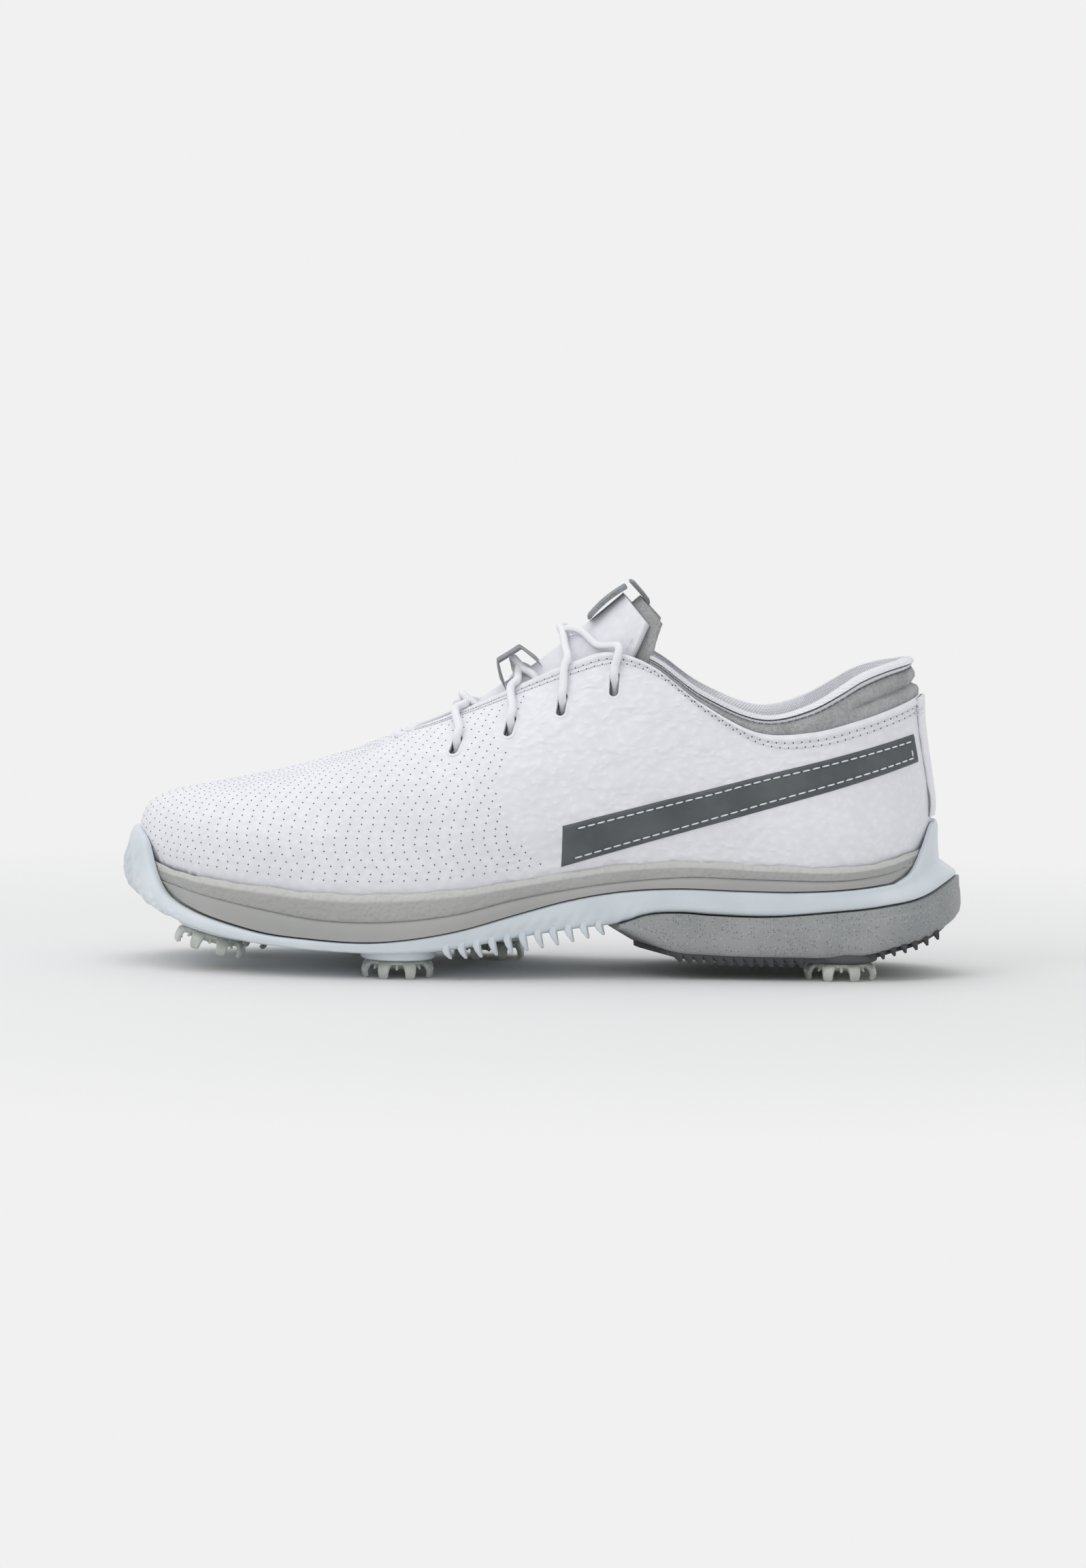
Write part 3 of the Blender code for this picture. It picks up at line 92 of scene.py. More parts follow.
SECTIONS = {
    0.00: ((0, 0, 0.03, 0.08, 0.25, 0.5, 0.78, 1), (0, 0.2, 0.38, 0.49, 0.58, 0.7, 0.88, 1),
           (0, 2, 2.6, 1, 0, 0, 0, 0)),
    0.15: ((0, 0, 0.04, 0.11, 0.28, 0.52, 0.78, 1), (0, 0.2, 0.4, 0.54, 0.66, 0.77, 0.9, 1),
           (0, 1.8, 2.4, 1, 0, 0, 0, 0)),
    0.30: ((0, 0, 0.02, 0.07, 0.2, 0.42, 0.72, 1), (0, 0.16, 0.33, 0.48, 0.67, 0.82, 0.94, 1),
           (0, 1.4, 1.8, 1.2, 0, 0, 0, 0)),
    0.42: ((0, 0, 0.02, 0.06, 0.18, 0.4, 0.7, 1), (0, 0.13, 0.28, 0.42, 0.61, 0.78, 0.92, 1),
           (0, 1.4, 1.8, 1.4, 0.4, 0, 0, 0)),
    0.52: ((0, 0, 0, 0.04, 0.16, 0.38, 0.69, 1), (0, 0.12, 0.25, 0.38, 0.57, 0.75, 0.9, 1),
           (0, 1.2, 1.8, 1.6, 0.6, 0, 0, 0)),
    0.65: ((0, 0.02, 0.05, 0.1, 0.26, 0.48, 0.76, 1), (0, 0.12, 0.24, 0.37, 0.55, 0.73, 0.88, 1),
           (0, 1, 1.8, 1.8, 1, 0.2, 0, 0)),
    0.80: ((0, 0.06, 0.13, 0.22, 0.4, 0.6, 0.82, 1), (0, 0.1, 0.2, 0.3, 0.47, 0.65, 0.84, 1),
           (0, 1.2, 2.2, 2.6, 2.4, 1.4, 0.3, 0)),
    1.00: ((0, 0.02, 0.06, 0.14, 0.34, 0.6, 0.84, 1), (0, 0.1, 0.2, 0.3, 0.47, 0.65, 0.84, 1),
           (0, 1.2, 1.9, 2.1, 1.7, 0.8, 0.1, 0)),
}
LEATHER = 1.4
LINING_FACE = 3.1
LINING_BACK = 3.9
TUCK_DEPTH = 5.2
LACE_D = 2.9
SLOT_WIDTH = 3.3
SLOT_HEIGHT = 9.4
SLOTS_XZ = [(-48.5, 74), (-31.5, 82), (-12.5, 88.9), (6, 96.8), (24.5, 104.3)]
TONGUE = [(0, -54, 68.5, 15, 3), (0.13, -44, 76.5, 16, 9), (0.27, -33, 87, 17, 18),
          (0.42, -20.7, 98.2, 17.5, 27), (0.58, -4.4, 109, 19.5, 32), (0.7, 6.7, 117.8, 20.5, 34),
          (0.82, 15, 124.5, 22, 31), (1, 30.5, 138, 24, 15)]
SPIKES = {
    "toe_lateral": (-117.5, -20, 12.9, 15), "toe_medial": (-111, 26, 11.3, 14),
    "ball_lateral": (-51, -36.5, 6.3, 0), "ball_medial": (-57, 37, 6.3, 0),
    "arch_medial": (-19, 29, 6.3, 0), "heel_lateral": (107, -22.5, 6.3, 0),
    "heel_medial": (107, 22.5, 6.3, 0),
}


# ------------------------------------------------------------------ curves
class Curve:
    """Smooth curve through rows of points, read from one column at any u."""

    def __init__(self, rows, column=1):
        self.xs = np.array([row[0] for row in rows], float)
        self.ys = np.array([row[column] for row in rows], float)
        self.slopes = np.gradient(self.ys, self.xs)

    def __call__(self, u):
        u = np.clip(np.asarray(u, float), self.xs[0], self.xs[-1])
        k = np.clip(np.searchsorted(self.xs, u) - 1, 0, len(self.xs) - 2)
        h = self.xs[k + 1] - self.xs[k]
        s = (u - self.xs[k]) / h
        return hermite(s, h, self.ys[k], self.ys[k + 1], self.slopes[k], self.slopes[k + 1])


def hermite(s, h, y0, y1, m0, m1):
    rise = (1 + 2 * s) * (1 - s) ** 2 * y0 + s * s * (3 - 2 * s) * y1
    return rise + s * (1 - s) ** 2 * h * m0 + s * s * (s - 1) * h * m1


def smooth_step(low, high, u):
    s = np.clip((np.asarray(u, float) - low) / (high - low), 0.0, 1.0)
    return s * s * (3 - 2 * s)


def unit(vectors):
    vectors = np.asarray(vectors, float)
    return vectors / np.maximum(np.linalg.norm(vectors, axis=-1, keepdims=True), 1e-9)


def station(x):
    return np.arccos(np.clip(-np.asarray(x, float) / (LENGTH / 2), -1, 1)) / math.pi


LATERAL_Y = Curve([(station(x), y) for x, y in LATERAL])
MEDIAL_Y = Curve([(station(x), y) for x, y in MEDIAL])
FEATHER, CREASE, WEDGE_LOW = Curve(FEATHER_Z), Curve(CREASE_Z), Curve(WEDGE_BOTTOM_Z)
PLATE_HIGH, PLATE_LOW = Curve(PLATE_TOP_Z), Curve(PLATE_BOTTOM_Z)
TOE_RISE, HEEL_RISE = Curve(TOE_CLIP), Curve(HEEL_CLIP)
EDGE = [Curve(TOP_EDGE, c) for c in (1, 2, 3)]


def along(t, x_toe, x_heel):
    c = -np.cos(math.pi * np.asarray(t, float))
    return c * np.where(c < 0, -x_toe, x_heel)


def in_clip(t):
    return np.maximum(1 - smooth_step(0.1, 0.19, t), smooth_step(0.86, 0.95, t))


def plan(t, side, x_toe, x_heel, inset):
    """Outline point at station t on a side (-1 lateral, 1 medial), moved in by inset."""
    lateral, medial = LATERAL_Y(t), MEDIAL_Y(t)
    half = (medial - lateral) / 2
    return along(t, x_toe, x_heel), (lateral + medial) / 2 + side * half * (1 - inset / HALF_REF)


def plate_top(t):
    rise = np.where(t < 0.18, TOE_RISE(t), 0) + np.where(t > 0.85, HEEL_RISE(t), 0)
    return PLATE_HIGH(along(t, -148, 142.2)) + rise


def plate_bottom(t):
    return PLATE_LOW(along(t, -143, 147.3))


# ------------------------------------------------------------------ surface of the upper
SECTION_T = sorted(SECTIONS)
SECTION_CURVES = [[Curve([(t, SECTIONS[t][channel][i]) for t in SECTION_T]) for i in range(8)]
                  for channel in range(3)]


def section(t, v):
    """Plan share, height share and bulge for matching arrays of station and height."""
    k = np.clip(np.searchsorted(SECTION_V, v) - 1, 0, len(SECTION_V) - 2)
    h = SECTION_V[k + 1] - SECTION_V[k]
    rows = np.arange(len(t))
    values = []
    for curves in SECTION_CURVES:
        knots = np.stack([curve(t) for curve in curves], axis=1)
        slopes = np.gradient(knots, SECTION_V, axis=1)
        values.append(hermite((v - SECTION_V[k]) / h, h, knots[rows, k], knots[rows, k + 1],
                              slopes[rows, k], slopes[rows, k + 1]))
    return values


def feather(t, side):
    inset = 3.0 + 2.9 * in_clip(t)
    x, y = plan(t, side, FEATHER_TOE, FEATHER_HEEL, inset)
    return np.stack([x, y, FEATHER(x)], axis=-1)


def feather_out(t, side):
    """Outward direction in plan at the feather line."""
    e = 0.01
    a = np.where((t < e)[..., None], feather(np.full_like(t, e), -side), feather(np.maximum(t - e, 0), side))
    b = np.where((t > 1 - e)[..., None], feather(np.full_like(t, 1 - e), -side),
                 feather(np.minimum(t + e, 1), side))
    d = unit((b - a)[..., :2])
    return np.stack([-side * d[..., 1], side * d[..., 0], np.zeros_like(t)], axis=-1)


def top_edge(t, side):
    line = 2.0 * (1 - smooth_step(0.3, 0.9, t))
    return np.stack([EDGE[0](t), line - side * EDGE[1](t), EDGE[2](t)], axis=-1)


def surface(t, v, side):
    """Outer face of the upper for matching arrays (or numbers) of station, height and side."""
    t, v, side = np.broadcast_arrays(np.asarray(t, float), np.asarray(v, float), np.asarray(side, float))
    shape = t.shape
    t, v, side = t.ravel(), v.ravel(), side.ravel()
    low, high = feather(t, side), top_edge(t, side)
    share, rise, bulge = section(t, v)
    p = low + (high - low) * share[:, None]
    p[:, 2] = low[:, 2] + (high - low)[:, 2] * rise
    p += feather_out(t, side) * bulge[:, None]
    return p.reshape(*shape, 3)


def surface_frame(t, v, side, e=0.004):
    """Point, outward normal and upward direction on the outer face."""
    t, v, side = np.broadcast_arrays(np.asarray(t, float), np.asarray(v, float), np.asarray(side, float))
    across = surface(np.minimum(t + e, 1), v, side) - surface(np.maximum(t - e, 0), v, side)
    up = surface(t, np.minimum(v + e, 1), side) - surface(t, np.maximum(v - e, 0), side)
    n = unit(np.cross(across, up)) * (-side)[..., None]
    lift = unit(np.array((0, 0, 1.0)) - n * n[..., 2:])
    return surface(t, v, side), n, lift


def loop_stations(count):
    """Stations and sides all the way round: lateral toe to heel, then medial back to the toe."""
    one = np.linspace(0, 1, count + 1)
    t = np.concatenate([one, one[-2:0:-1]])
    side = np.concatenate([-np.ones(count + 1), np.ones(count - 1)])
    return t, side


def open_loop(low, high, count, first=-1):
    """Stations and sides from low on the first side, round the end at high, back to low on the other."""
    one = np.linspace(low, high, count)
    side = np.concatenate([np.full(count, float(first)), np.full(count - 1, -float(first))])
    return np.concatenate([one, one[-2::-1]]), side


# ------------------------------------------------------------------ meshes
def piece(name, verts, faces, material, uvs=None, body="shoe", slot=None, smooth=True):
    """Object from points in mm. uvs holds one (u, v) in mm for each point."""
    mesh = bpy.data.meshes.new(name)
    mesh.from_pydata([tuple(p) for p in (np.asarray(verts, float) * MM).tolist()], [], faces)
    mesh.materials.append(material)
    if uvs is not None:
        layer = mesh.uv_layers.new(name="sheet")
        corners = np.empty(len(mesh.loops), int)
        mesh.loops.foreach_get("vertex_index", corners)
        layer.data.foreach_set("uv", (np.asarray(uvs, float) * MM)[corners].astype(np.float32).ravel())
    shape = bmesh.new()
    shape.from_mesh(mesh)
    bmesh.ops.recalc_face_normals(shape, faces=shape.faces)
    shape.to_mesh(mesh)
    shape.free()
    if smooth:
        mesh.shade_smooth()
        mesh.set_sharp_from_angle(angle=math.radians(50))
    item = bpy.data.objects.new(name, mesh)
    bpy.context.scene.collection.objects.link(item)
    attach(item, body)
    return item


def loft_parts(sections, ring=True, wrap=False, cap=True):
    """Points, faces and lengths (u, v) of a skin over an array of sections (n, k, 3)."""
    sections = np.asarray(sections, float)
    n, k = sections.shape[:2]
    index = np.arange(n * k).reshape(n, k)
    spans, turns = (n if wrap else n - 1), (k if ring else k - 1)
    faces = []
    for i in range(spans):
        a, b = index[i], index[(i + 1) % n]
        faces += [(a[j], b[j], b[(j + 1) % k], a[(j + 1) % k]) for j in range(turns)]
    if cap and ring and not wrap:
        faces += [tuple(index[0]), tuple(index[-1][::-1])]
    u = np.zeros((n, k))
    u[1:] = np.cumsum(np.linalg.norm(np.diff(sections, axis=0), axis=2).mean(1))[:, None]
    v = np.zeros((n, k))
    v[:, 1:] = np.cumsum(np.linalg.norm(np.diff(sections, axis=1), axis=2), axis=1)
    faces = [tuple(int(c) for c in face) for face in faces]
    return sections.reshape(-1, 3), faces, np.stack([u, v], axis=-1).reshape(-1, 2)


def loft(name, sections, material, ring=True, wrap=False, cap=True, **more):
    verts, faces, uvs = loft_parts(sections, ring, wrap, cap)
    return piece(name, verts, faces, material, uvs, **more)


def merged(name, parts, material, **more):
    """One object out of several lofts' (points, faces, uvs)."""
    verts, faces, uvs, base = [], [], [], 0
    for points, quads, lengths in parts:
        verts.append(points)
        uvs.append(lengths)
        faces += [tuple(c + base for c in face) for face in quads]
        base += len(points)
    return piece(name, np.concatenate(verts), faces, material, np.concatenate(uvs), **more)


def tube_parts(path, radius, sides=12, squash=1.0, up=None):
    """Skin of a cord along a path. radius may vary along it; squash flattens it along up."""
    path = np.asarray(path, float)
    ahead = unit(np.gradient(path, axis=0))
    radius = np.broadcast_to(np.asarray(radius, float), (len(path),))
    guide = np.array((0.0, 0.0, 1.0)) if up is None else np.asarray(up, float)
    frames = []
    a = unit(np.cross(ahead[0], guide if abs(ahead[0] @ unit(guide)) < 0.95 else (0, 1.0, 0)))
    for d in ahead:
        a = unit(a - d * (a @ d))
        frames.append((a, np.cross(d, a)))
    turn = np.arange(sides) * 2 * math.pi / sides
    rings = [p + r * (np.outer(np.cos(turn), a) + squash * np.outer(np.sin(turn), b))
             for p, r, (a, b) in zip(path, radius, frames)]
    return loft_parts(rings)


def fine_path(points, step):
    """Points every step mm along a smooth curve through a route's points."""
    points = [np.asarray(p, float) for p in points]
    chord = np.concatenate([[0], np.cumsum([max(np.linalg.norm(b - a), 1e-6) ** 0.5
                                            for a, b in zip(points, points[1:])])])
    rows = [(u, *p) for u, p in zip(chord, points)]
    fine = np.stack([Curve(rows, c)(np.linspace(0, chord[-1], 6000)) for c in (1, 2, 3)], axis=1)
    return even_path(fine, step)


def even_path(fine, step):
    walked = np.concatenate([[0], np.cumsum(np.linalg.norm(np.diff(fine, axis=0), axis=1))])
    count = max(2, int(round(walked[-1] / step)) + 1)
    at = np.linspace(0, walked[-1], count)
    return np.stack([np.interp(at, walked, fine[:, c]) for c in range(3)], axis=1)


# ------------------------------------------------------------------ materials
def rgb(r, g, b):
    """Linear colour from 0-255 display values, all above 10."""
    return tuple(((c / 255 + 0.055) / 1.055) ** 2.4 for c in (r, g, b)) + (1.0,)


class Finish:
    """Principled material with helpers for building patterns out of nodes. Scales are per mm."""

    def __init__(self, name, colour, roughness, **sockets):
        self.material = bpy.data.materials.new(name)
        self.material.use_nodes = True
        self.tree = self.material.node_tree
        self.shader = self.tree.nodes["Principled BSDF"]
        self.shader.inputs["Base Color"].default_value = colour
        self.shader.inputs["Roughness"].default_value = roughness
        for key, value in sockets.items():
            self.shader.inputs[key.replace("_", " ")].default_value = value
        place = self.tree.nodes.new("ShaderNodeTexCoord")
        self.object = place.outputs["Object"]
        self.sheet = place.outputs["UV"]
        self.normal = None

    def node(self, kind, outlet=0, props=None, **inlets):
        node = self.tree.nodes.new(kind)
        for key, value in (props or {}).items():
            setattr(node, key, value)
        for key, value in inlets.items():
            inlet = node.inputs[int(key[1:])] if key[0] == "_" else node.inputs[key]
            if isinstance(value, bpy.types.NodeSocket):
                self.tree.links.new(value, inlet)
            else:
                inlet.default_value = value
        return node.outputs[outlet]

    def noise(self, scale, detail=3.0, vector=None, rough=0.5):
        return self.node("ShaderNodeTexNoise", 0, Vector=vector or self.object, Scale=scale * 1000,
                         Detail=detail, Roughness=rough)

    def cells(self, scale, vector=None, feature="F1", outlet=0):
        return self.node("ShaderNodeTexVoronoi", outlet, {"feature": feature},
                         Vector=vector or self.object, Scale=scale * 1000)

    def waves(self, scale, vector=None, distortion=0.0, direction="X"):
        return self.node("ShaderNodeTexWave", 1, {"bands_direction": direction},
                         Vector=vector or self.object, Scale=scale * 1000 / 3.14, Distortion=distortion)

    def stretch(self, x, y, z, turn=0.0, source=None, lean=0.0):
        return self.node("ShaderNodeMapping", 0, Vector=source or self.object, Scale=(x, y, z),
                         Rotation=(0, turn, lean))

    def maths(self, op, a, b=0.0):
        return self.node("ShaderNodeMath", 0, {"operation": op}, _0=a, _1=b)

    def span(self, value, low, high, to_low=0.0, to_high=1.0):
        return self.node("ShaderNodeMapRange", 0, {"interpolation_type": "SMOOTHSTEP"}, Value=value,
                         _1=low, _2=high, _3=to_low, _4=to_high)

    def split(self, axis, source=None):
        return self.node("ShaderNodeSeparateXYZ", "XYZ".index(axis), Vector=source or self.object)

    def bump(self, height, depth):
        """Relief of a height from 0 to 1, depth in mm, over any relief already added."""
        inlets = {"Height": height, "Distance": depth * MM, "Strength": 1.0}
        if self.normal:
            inlets["Normal"] = self.normal
        self.normal = self.node("ShaderNodeBump", 0, None, **inlets)
        self.tree.links.new(self.normal, self.shader.inputs["Normal"])
        return self

    def mixed(self, share, a, b):
        return self.node("ShaderNodeMix", 2, {"data_type": "RGBA"}, _0=share, _6=a, _7=b)

    def colour(self, share, a, b):
        self.tree.links.new(self.mixed(share, a, b), self.shader.inputs["Base Color"])
        return self

    def roughness(self, share, a, b):
        self.tree.links.new(self.span(share, 0, 1, a, b), self.shader.inputs["Roughness"])
        return self


def leather_finish(name, light, dark, grain_depth=0.5, crease_depth=1.15, front=-30.0, smooth_heel=True):
    f = Finish(name, light, 0.46, Specular_IOR_Level=0.42)
    drift = f.noise(0.02, 2)
    warped = f.node("ShaderNodeVectorMath", 0, {"operation": "ADD"}, _0=f.object,
                    _1=f.node("ShaderNodeVectorMath", 0, {"operation": "SCALE"},
                              _0=f.node("ShaderNodeTexNoise", 1, Vector=f.object, Scale=90.0, Detail=2.0),
                              Scale=0.006))
    pebble = f.cells(0.42, f.stretch(0.8, 1, 1, 0.5, warped), "SMOOTH_F1")
    pebbles = f.maths("POWER", f.maths("SUBTRACT", 1.0, pebble), 1.4)
    folds = f.noise(0.085, 2.5, f.stretch(0.55, 1, 1.6, -0.62, warped), 0.5)
    tumbled = f.span(f.split("X"), front * MM, (front + 26) * MM)
    if smooth_heel:
        tumbled = f.maths("MULTIPLY", tumbled, f.span(f.split("X"), 72 * MM, 112 * MM, 1.0, 0.22))
    strength = f.span(tumbled, 0, 1, 0.25, 1.0)
    f.bump(f.maths("MULTIPLY", folds, tumbled), crease_depth)
    f.bump(f.maths("MULTIPLY", pebbles, strength), grain_depth)
    f.bump(f.noise(1.6, 3), 0.03)
    f.colour(f.span(f.maths("ADD", f.maths("MULTIPLY", drift, 0.6), f.maths("MULTIPLY", pebbles, 0.4)),
                    0.3, 0.75), dark, light)
    f.roughness(pebbles, 0.52, 0.4)
    return f.material


def suede_finish(name, light, dark):
    f = Finish(name, light, 0.95, Sheen_Weight=0.35, Sheen_Roughness=0.5, Specular_IOR_Level=0.15)
    nap = f.noise(0.95, 6, None, 0.8)
    patches = f.noise(0.12, 3, f.stretch(1, 1, 0.6))
    f.bump(nap, 1.1)
    f.bump(patches, 1.0)
    f.colour(f.span(f.maths("ADD", f.maths("MULTIPLY", nap, 0.65), f.maths("MULTIPLY", patches, 0.35)),
                    0.34, 0.66), dark, light)
    f.roughness(nap, 1.0, 0.85)
    return f.material


def twill_finish(name, light, dark, pitch=0.95, depth=0.2):
    f = Finish(name, light, 0.85, Sheen_Weight=0.25, Specular_IOR_Level=0.2)
    slant = f.stretch(1, 1, 1, 0.0, f.sheet, 0.62)
    ribs = f.waves(1 / pitch, slant, 0.25)
    yarn = f.waves(1 / (pitch * 0.62), f.stretch(1, 1, 1, 0.0, f.sheet, -0.5), 0.4, "Y")
    f.bump(ribs, depth)
    f.bump(f.maths("MULTIPLY", yarn, ribs), depth * 0.5)
    f.bump(f.noise(2.4, 3), 0.05)
    f.colour(f.maths("MULTIPLY", ribs, f.span(f.noise(0.3, 3), 0.2, 0.8, 0.75, 1.0)), dark, light)
    f.roughness(ribs, 0.95, 0.78)
    return f.material


def lace_finish():
    f = Finish("lace_cotton", rgb(238, 238, 243), 0.75, Sheen_Weight=0.2, Specular_IOR_Level=0.25)
    one = f.waves(1.25, f.stretch(1, 1.1, 1, 0.0, f.sheet, 0.7))
    two = f.waves(1.25, f.stretch(1, 1.1, 1, 0.0, f.sheet, -0.7))
    braid = f.maths("MAXIMUM", one, two)
    f.bump(braid, 0.07)
    f.bump(f.noise(2.2, 3), 0.05)
    f.colour(f.maths("MULTIPLY", braid, f.span(f.noise(0.2), 0.25, 0.75, 0.8, 1)), rgb(228, 228, 234),
             rgb(246, 246, 250))
    f.roughness(braid, 0.85, 0.68)
    return f.material


def thread_finish(name, colour, dark):
    f = Finish(name, colour, 0.6)
    twist = f.waves(1.6, f.stretch(1, 1, 1, 0.6), 0.5)
    f.bump(twist, 0.05)
    f.colour(twist, dark, colour)
    f.roughness(twist, 0.7, 0.5)
    return f.material


def band_finish():
    f = Finish("side_band_synthetic", rgb(87, 91, 94), 0.5, Specular_IOR_Level=0.35)
    grain = f.cells(1.1, None, "SMOOTH_F1")
    f.bump(grain, 0.06)
    f.bump(f.noise(0.5, 4), 0.12)
    f.colour(f.span(f.noise(0.06, 4), 0.3, 0.7), rgb(80, 84, 87), rgb(94, 98, 101))
    f.roughness(f.noise(0.3, 3), 0.42, 0.6)
    return f.material


def moulded_finish(name, light, dark, rough=0.42, depth=0.05, scale=0.8, **more):
    """Moulded rubber or foam with a fine spark texture."""
    f = Finish(name, light, rough, **more)
    fine = f.noise(scale, 4, None, 0.6)
    f.bump(fine, depth)
    f.colour(f.span(f.noise(0.05, 3), 0.3, 0.7), dark, light)
    f.roughness(fine, rough + 0.1, rough - 0.06)
    return f.material


def midsole_finish():
    """Pebbled above the crease and smooth below it; the crease is at v = CREASE_V on the sheet. The top rim
    gets a lighter colour, a painted highlight.
    """
    f = Finish("midsole_foam", rgb(182, 182, 180), 0.5, Specular_IOR_Level=0.4)
    above = f.span(f.split("Y", f.sheet), CREASE_V * MM - 0.0004, CREASE_V * MM + 0.0004, 1.0, 0.0)
    pebble = f.cells(0.62, None, "SMOOTH_F1")
    f.bump(f.maths("MULTIPLY", f.maths("SUBTRACT", 1.0, pebble), above), 0.6)
    f.bump(f.noise(1.5, 3), 0.03)
    f.bump(f.noise(0.05, 2), 0.6)
    # painted highlight: sheet heights below about 3.2 mm, the midsole's top rim, are coloured a lighter grey
    # where light falls on the lip
    lit = f.span(f.split("Y", f.sheet), 3.2 * MM, 4.4 * MM, 1.0, 0.0)
    base = f.mixed(f.span(f.noise(0.03, 3), 0.3, 0.7), rgb(166, 167, 165), rgb(175, 175, 173))
    f.tree.links.new(f.mixed(lit, base, rgb(203, 203, 200)), f.shader.inputs["Base Color"])
    f.roughness(pebble, 0.44, 0.56)
    return f.material


def wedge_finish():
    f = Finish("wedge_speckled", rgb(150, 152, 153), 0.55)
    flecks = f.cells(1.15, None, "F1", 0)
    chance = f.split("X", f.cells(1.15, None, "F1", 1))
    dots = f.maths("MULTIPLY", f.span(flecks, 0.22, 0.32, 1.0, 0.0), f.span(chance, 0.55, 0.6))
    light_dots = f.maths("MULTIPLY", f.span(f.cells(0.8), 0.18, 0.28, 1.0, 0.0), 0.45)
    f.bump(f.noise(1.0, 4), 0.08)
    ground = f.mixed(f.span(f.noise(0.04, 3), 0.3, 0.7), rgb(144, 147, 149), rgb(160, 162, 163))
    ground = f.mixed(light_dots, ground, rgb(190, 191, 191))
    f.tree.links.new(f.mixed(f.maths("MULTIPLY", dots, 0.75), ground, rgb(86, 88, 90)),
                     f.shader.inputs["Base Color"])
    f.roughness(f.noise(0.9, 2), 0.62, 0.46)
    return f.material


def spike_finish():
    f = Finish("spike_clear_plastic", rgb(226, 230, 223), 0.22, Transmission_Weight=0.35, IOR=1.49,
               Coat_Weight=0.2)
    f.bump(f.noise(0.35, 3), 0.12)
    f.colour(f.span(f.noise(0.09, 3), 0.3, 0.7), rgb(206, 212, 204), rgb(228, 232, 226))
    f.roughness(f.noise(0.5, 3), 0.16, 0.32)
    return f.material


def foam_finish(name, light, dark):
    f = Finish(name, light, 0.9)
    pores = f.cells(1.4, None, "F1")
    f.bump(pores, 0.2)
    f.colour(pores, dark, light)
    f.roughness(pores, 0.95, 0.85)
    return f.material


CREASE_V = 10.2
WHITE = leather_finish("leather_white_tumbled", rgb(240, 240, 245), rgb(229, 229, 235))
WHITE_PLAIN = leather_finish("leather_white_smooth", rgb(238, 238, 244), rgb(230, 230, 236), grain_depth=0.1,
                             crease_depth=0.35, front=-200.0, smooth_heel=False)
SUEDE = suede_finish("suede_grey", rgb(219, 220, 221), rgb(166, 168, 170))
SUEDE_DARK = suede_finish("suede_keeper", rgb(188, 191, 195), rgb(140, 144, 149))
TWILL = twill_finish("twill_white", rgb(246, 246, 250), rgb(232, 232, 239), 0.85, 0.14)
MESH_LINING = twill_finish("lining_white", rgb(240, 240, 245), rgb(222, 222, 230), 1.1, 0.12)
LACE = lace_finish()
THREAD = thread_finish("thread_white", rgb(236, 238, 238), rgb(214, 216, 218))
THREAD_DARK = thread_finish("thread_seam_grey", rgb(126, 127, 138), rgb(96, 97, 108))
# painted shade: dark grey for the inside of perforations and needle holes, which are drawn as dishes on the
# face
HOLE_SHADE = moulded_finish("needle_hole", rgb(84, 85, 94), rgb(64, 65, 74), 0.9)
BAND = band_finish()
MIDSOLE = midsole_finish()
PLATE = moulded_finish("plate_ice_blue", rgb(219, 226, 231), rgb(210, 218, 224), 0.36, 0.03, 0.6,
                       Subsurface_Weight=0.12, Subsurface_Scale=0.004)
WEDGE = wedge_finish()
TREAD = moulded_finish("tread_rubber_dark", rgb(70, 73, 75), rgb(58, 61, 63), 0.5, 0.06, 1.0)
BOSS = moulded_finish("boss_rubber", rgb(82, 85, 87), rgb(70, 73, 75), 0.45, 0.05, 1.0)
SPIKE = spike_finish()
FOAM = foam_finish("foam_open_cell", rgb(214, 212, 200), rgb(176, 172, 158))
BOARD = moulded_finish("fibre_board", rgb(206, 200, 186), rgb(190, 182, 166), 0.85, 0.2, 1.4)
TAPE = moulded_finish("eyestay_tape", rgb(222, 223, 224), rgb(204, 206, 208), 0.85, 0.2, 1.4)
CUSHION = moulded_finish("cushion_unit_film", rgb(198, 206, 212), rgb(184, 194, 202), 0.2, 0.05, 0.2)
SOCKET = moulded_finish("socket_plastic", rgb(120, 124, 128), rgb(104, 108, 112), 0.4, 0.04, 0.9)
AGLET = moulded_finish("aglet_film", rgb(224, 226, 230), rgb(208, 211, 217), 0.22, 0.04, 0.7)
# painted shade: dark grey for the walls inside the lace slots
SLOT_WALL_SHADE = moulded_finish("slot_shadow_lining", rgb(112, 113, 118), rgb(92, 93, 99), 0.9, 0.2, 1.2)


# ------------------------------------------------------------------ upper
TURN_T, TURN_SIDE = loop_stations(190)
ROWS_V = np.concatenate([np.linspace(0, 0.9, 40), np.linspace(0.915, 1, 10)])
SHELL = surface(TURN_T[:, None], ROWS_V[None, :], TURN_SIDE[:, None])
THROAT = np.array((-0.26, 0.0, 0.965))


def throat_lean(n, t, v):
    """Normals turned towards THROAT near the front of the top edge, where the face folds over."""
    share = smooth_step(0.4, 0.8, v)[None, :, None] * (1 - smooth_step(0.3, 0.45, t))[:, None, None]
    return unit(n * (1 - share) + THROAT * share)


def shell_normals():
    across = np.roll(SHELL, -1, 0) - np.roll(SHELL, 1, 0)
    return throat_lean(unit(np.cross(across, np.gradient(SHELL, axis=1))), TURN_T, ROWS_V)


SHELL_N = shell_normals()
SHELL_ARC = np.concatenate([np.zeros((len(TURN_T), 1)),
                            np.cumsum(np.linalg.norm(np.diff(SHELL, axis=1), axis=2), axis=1)], axis=1)


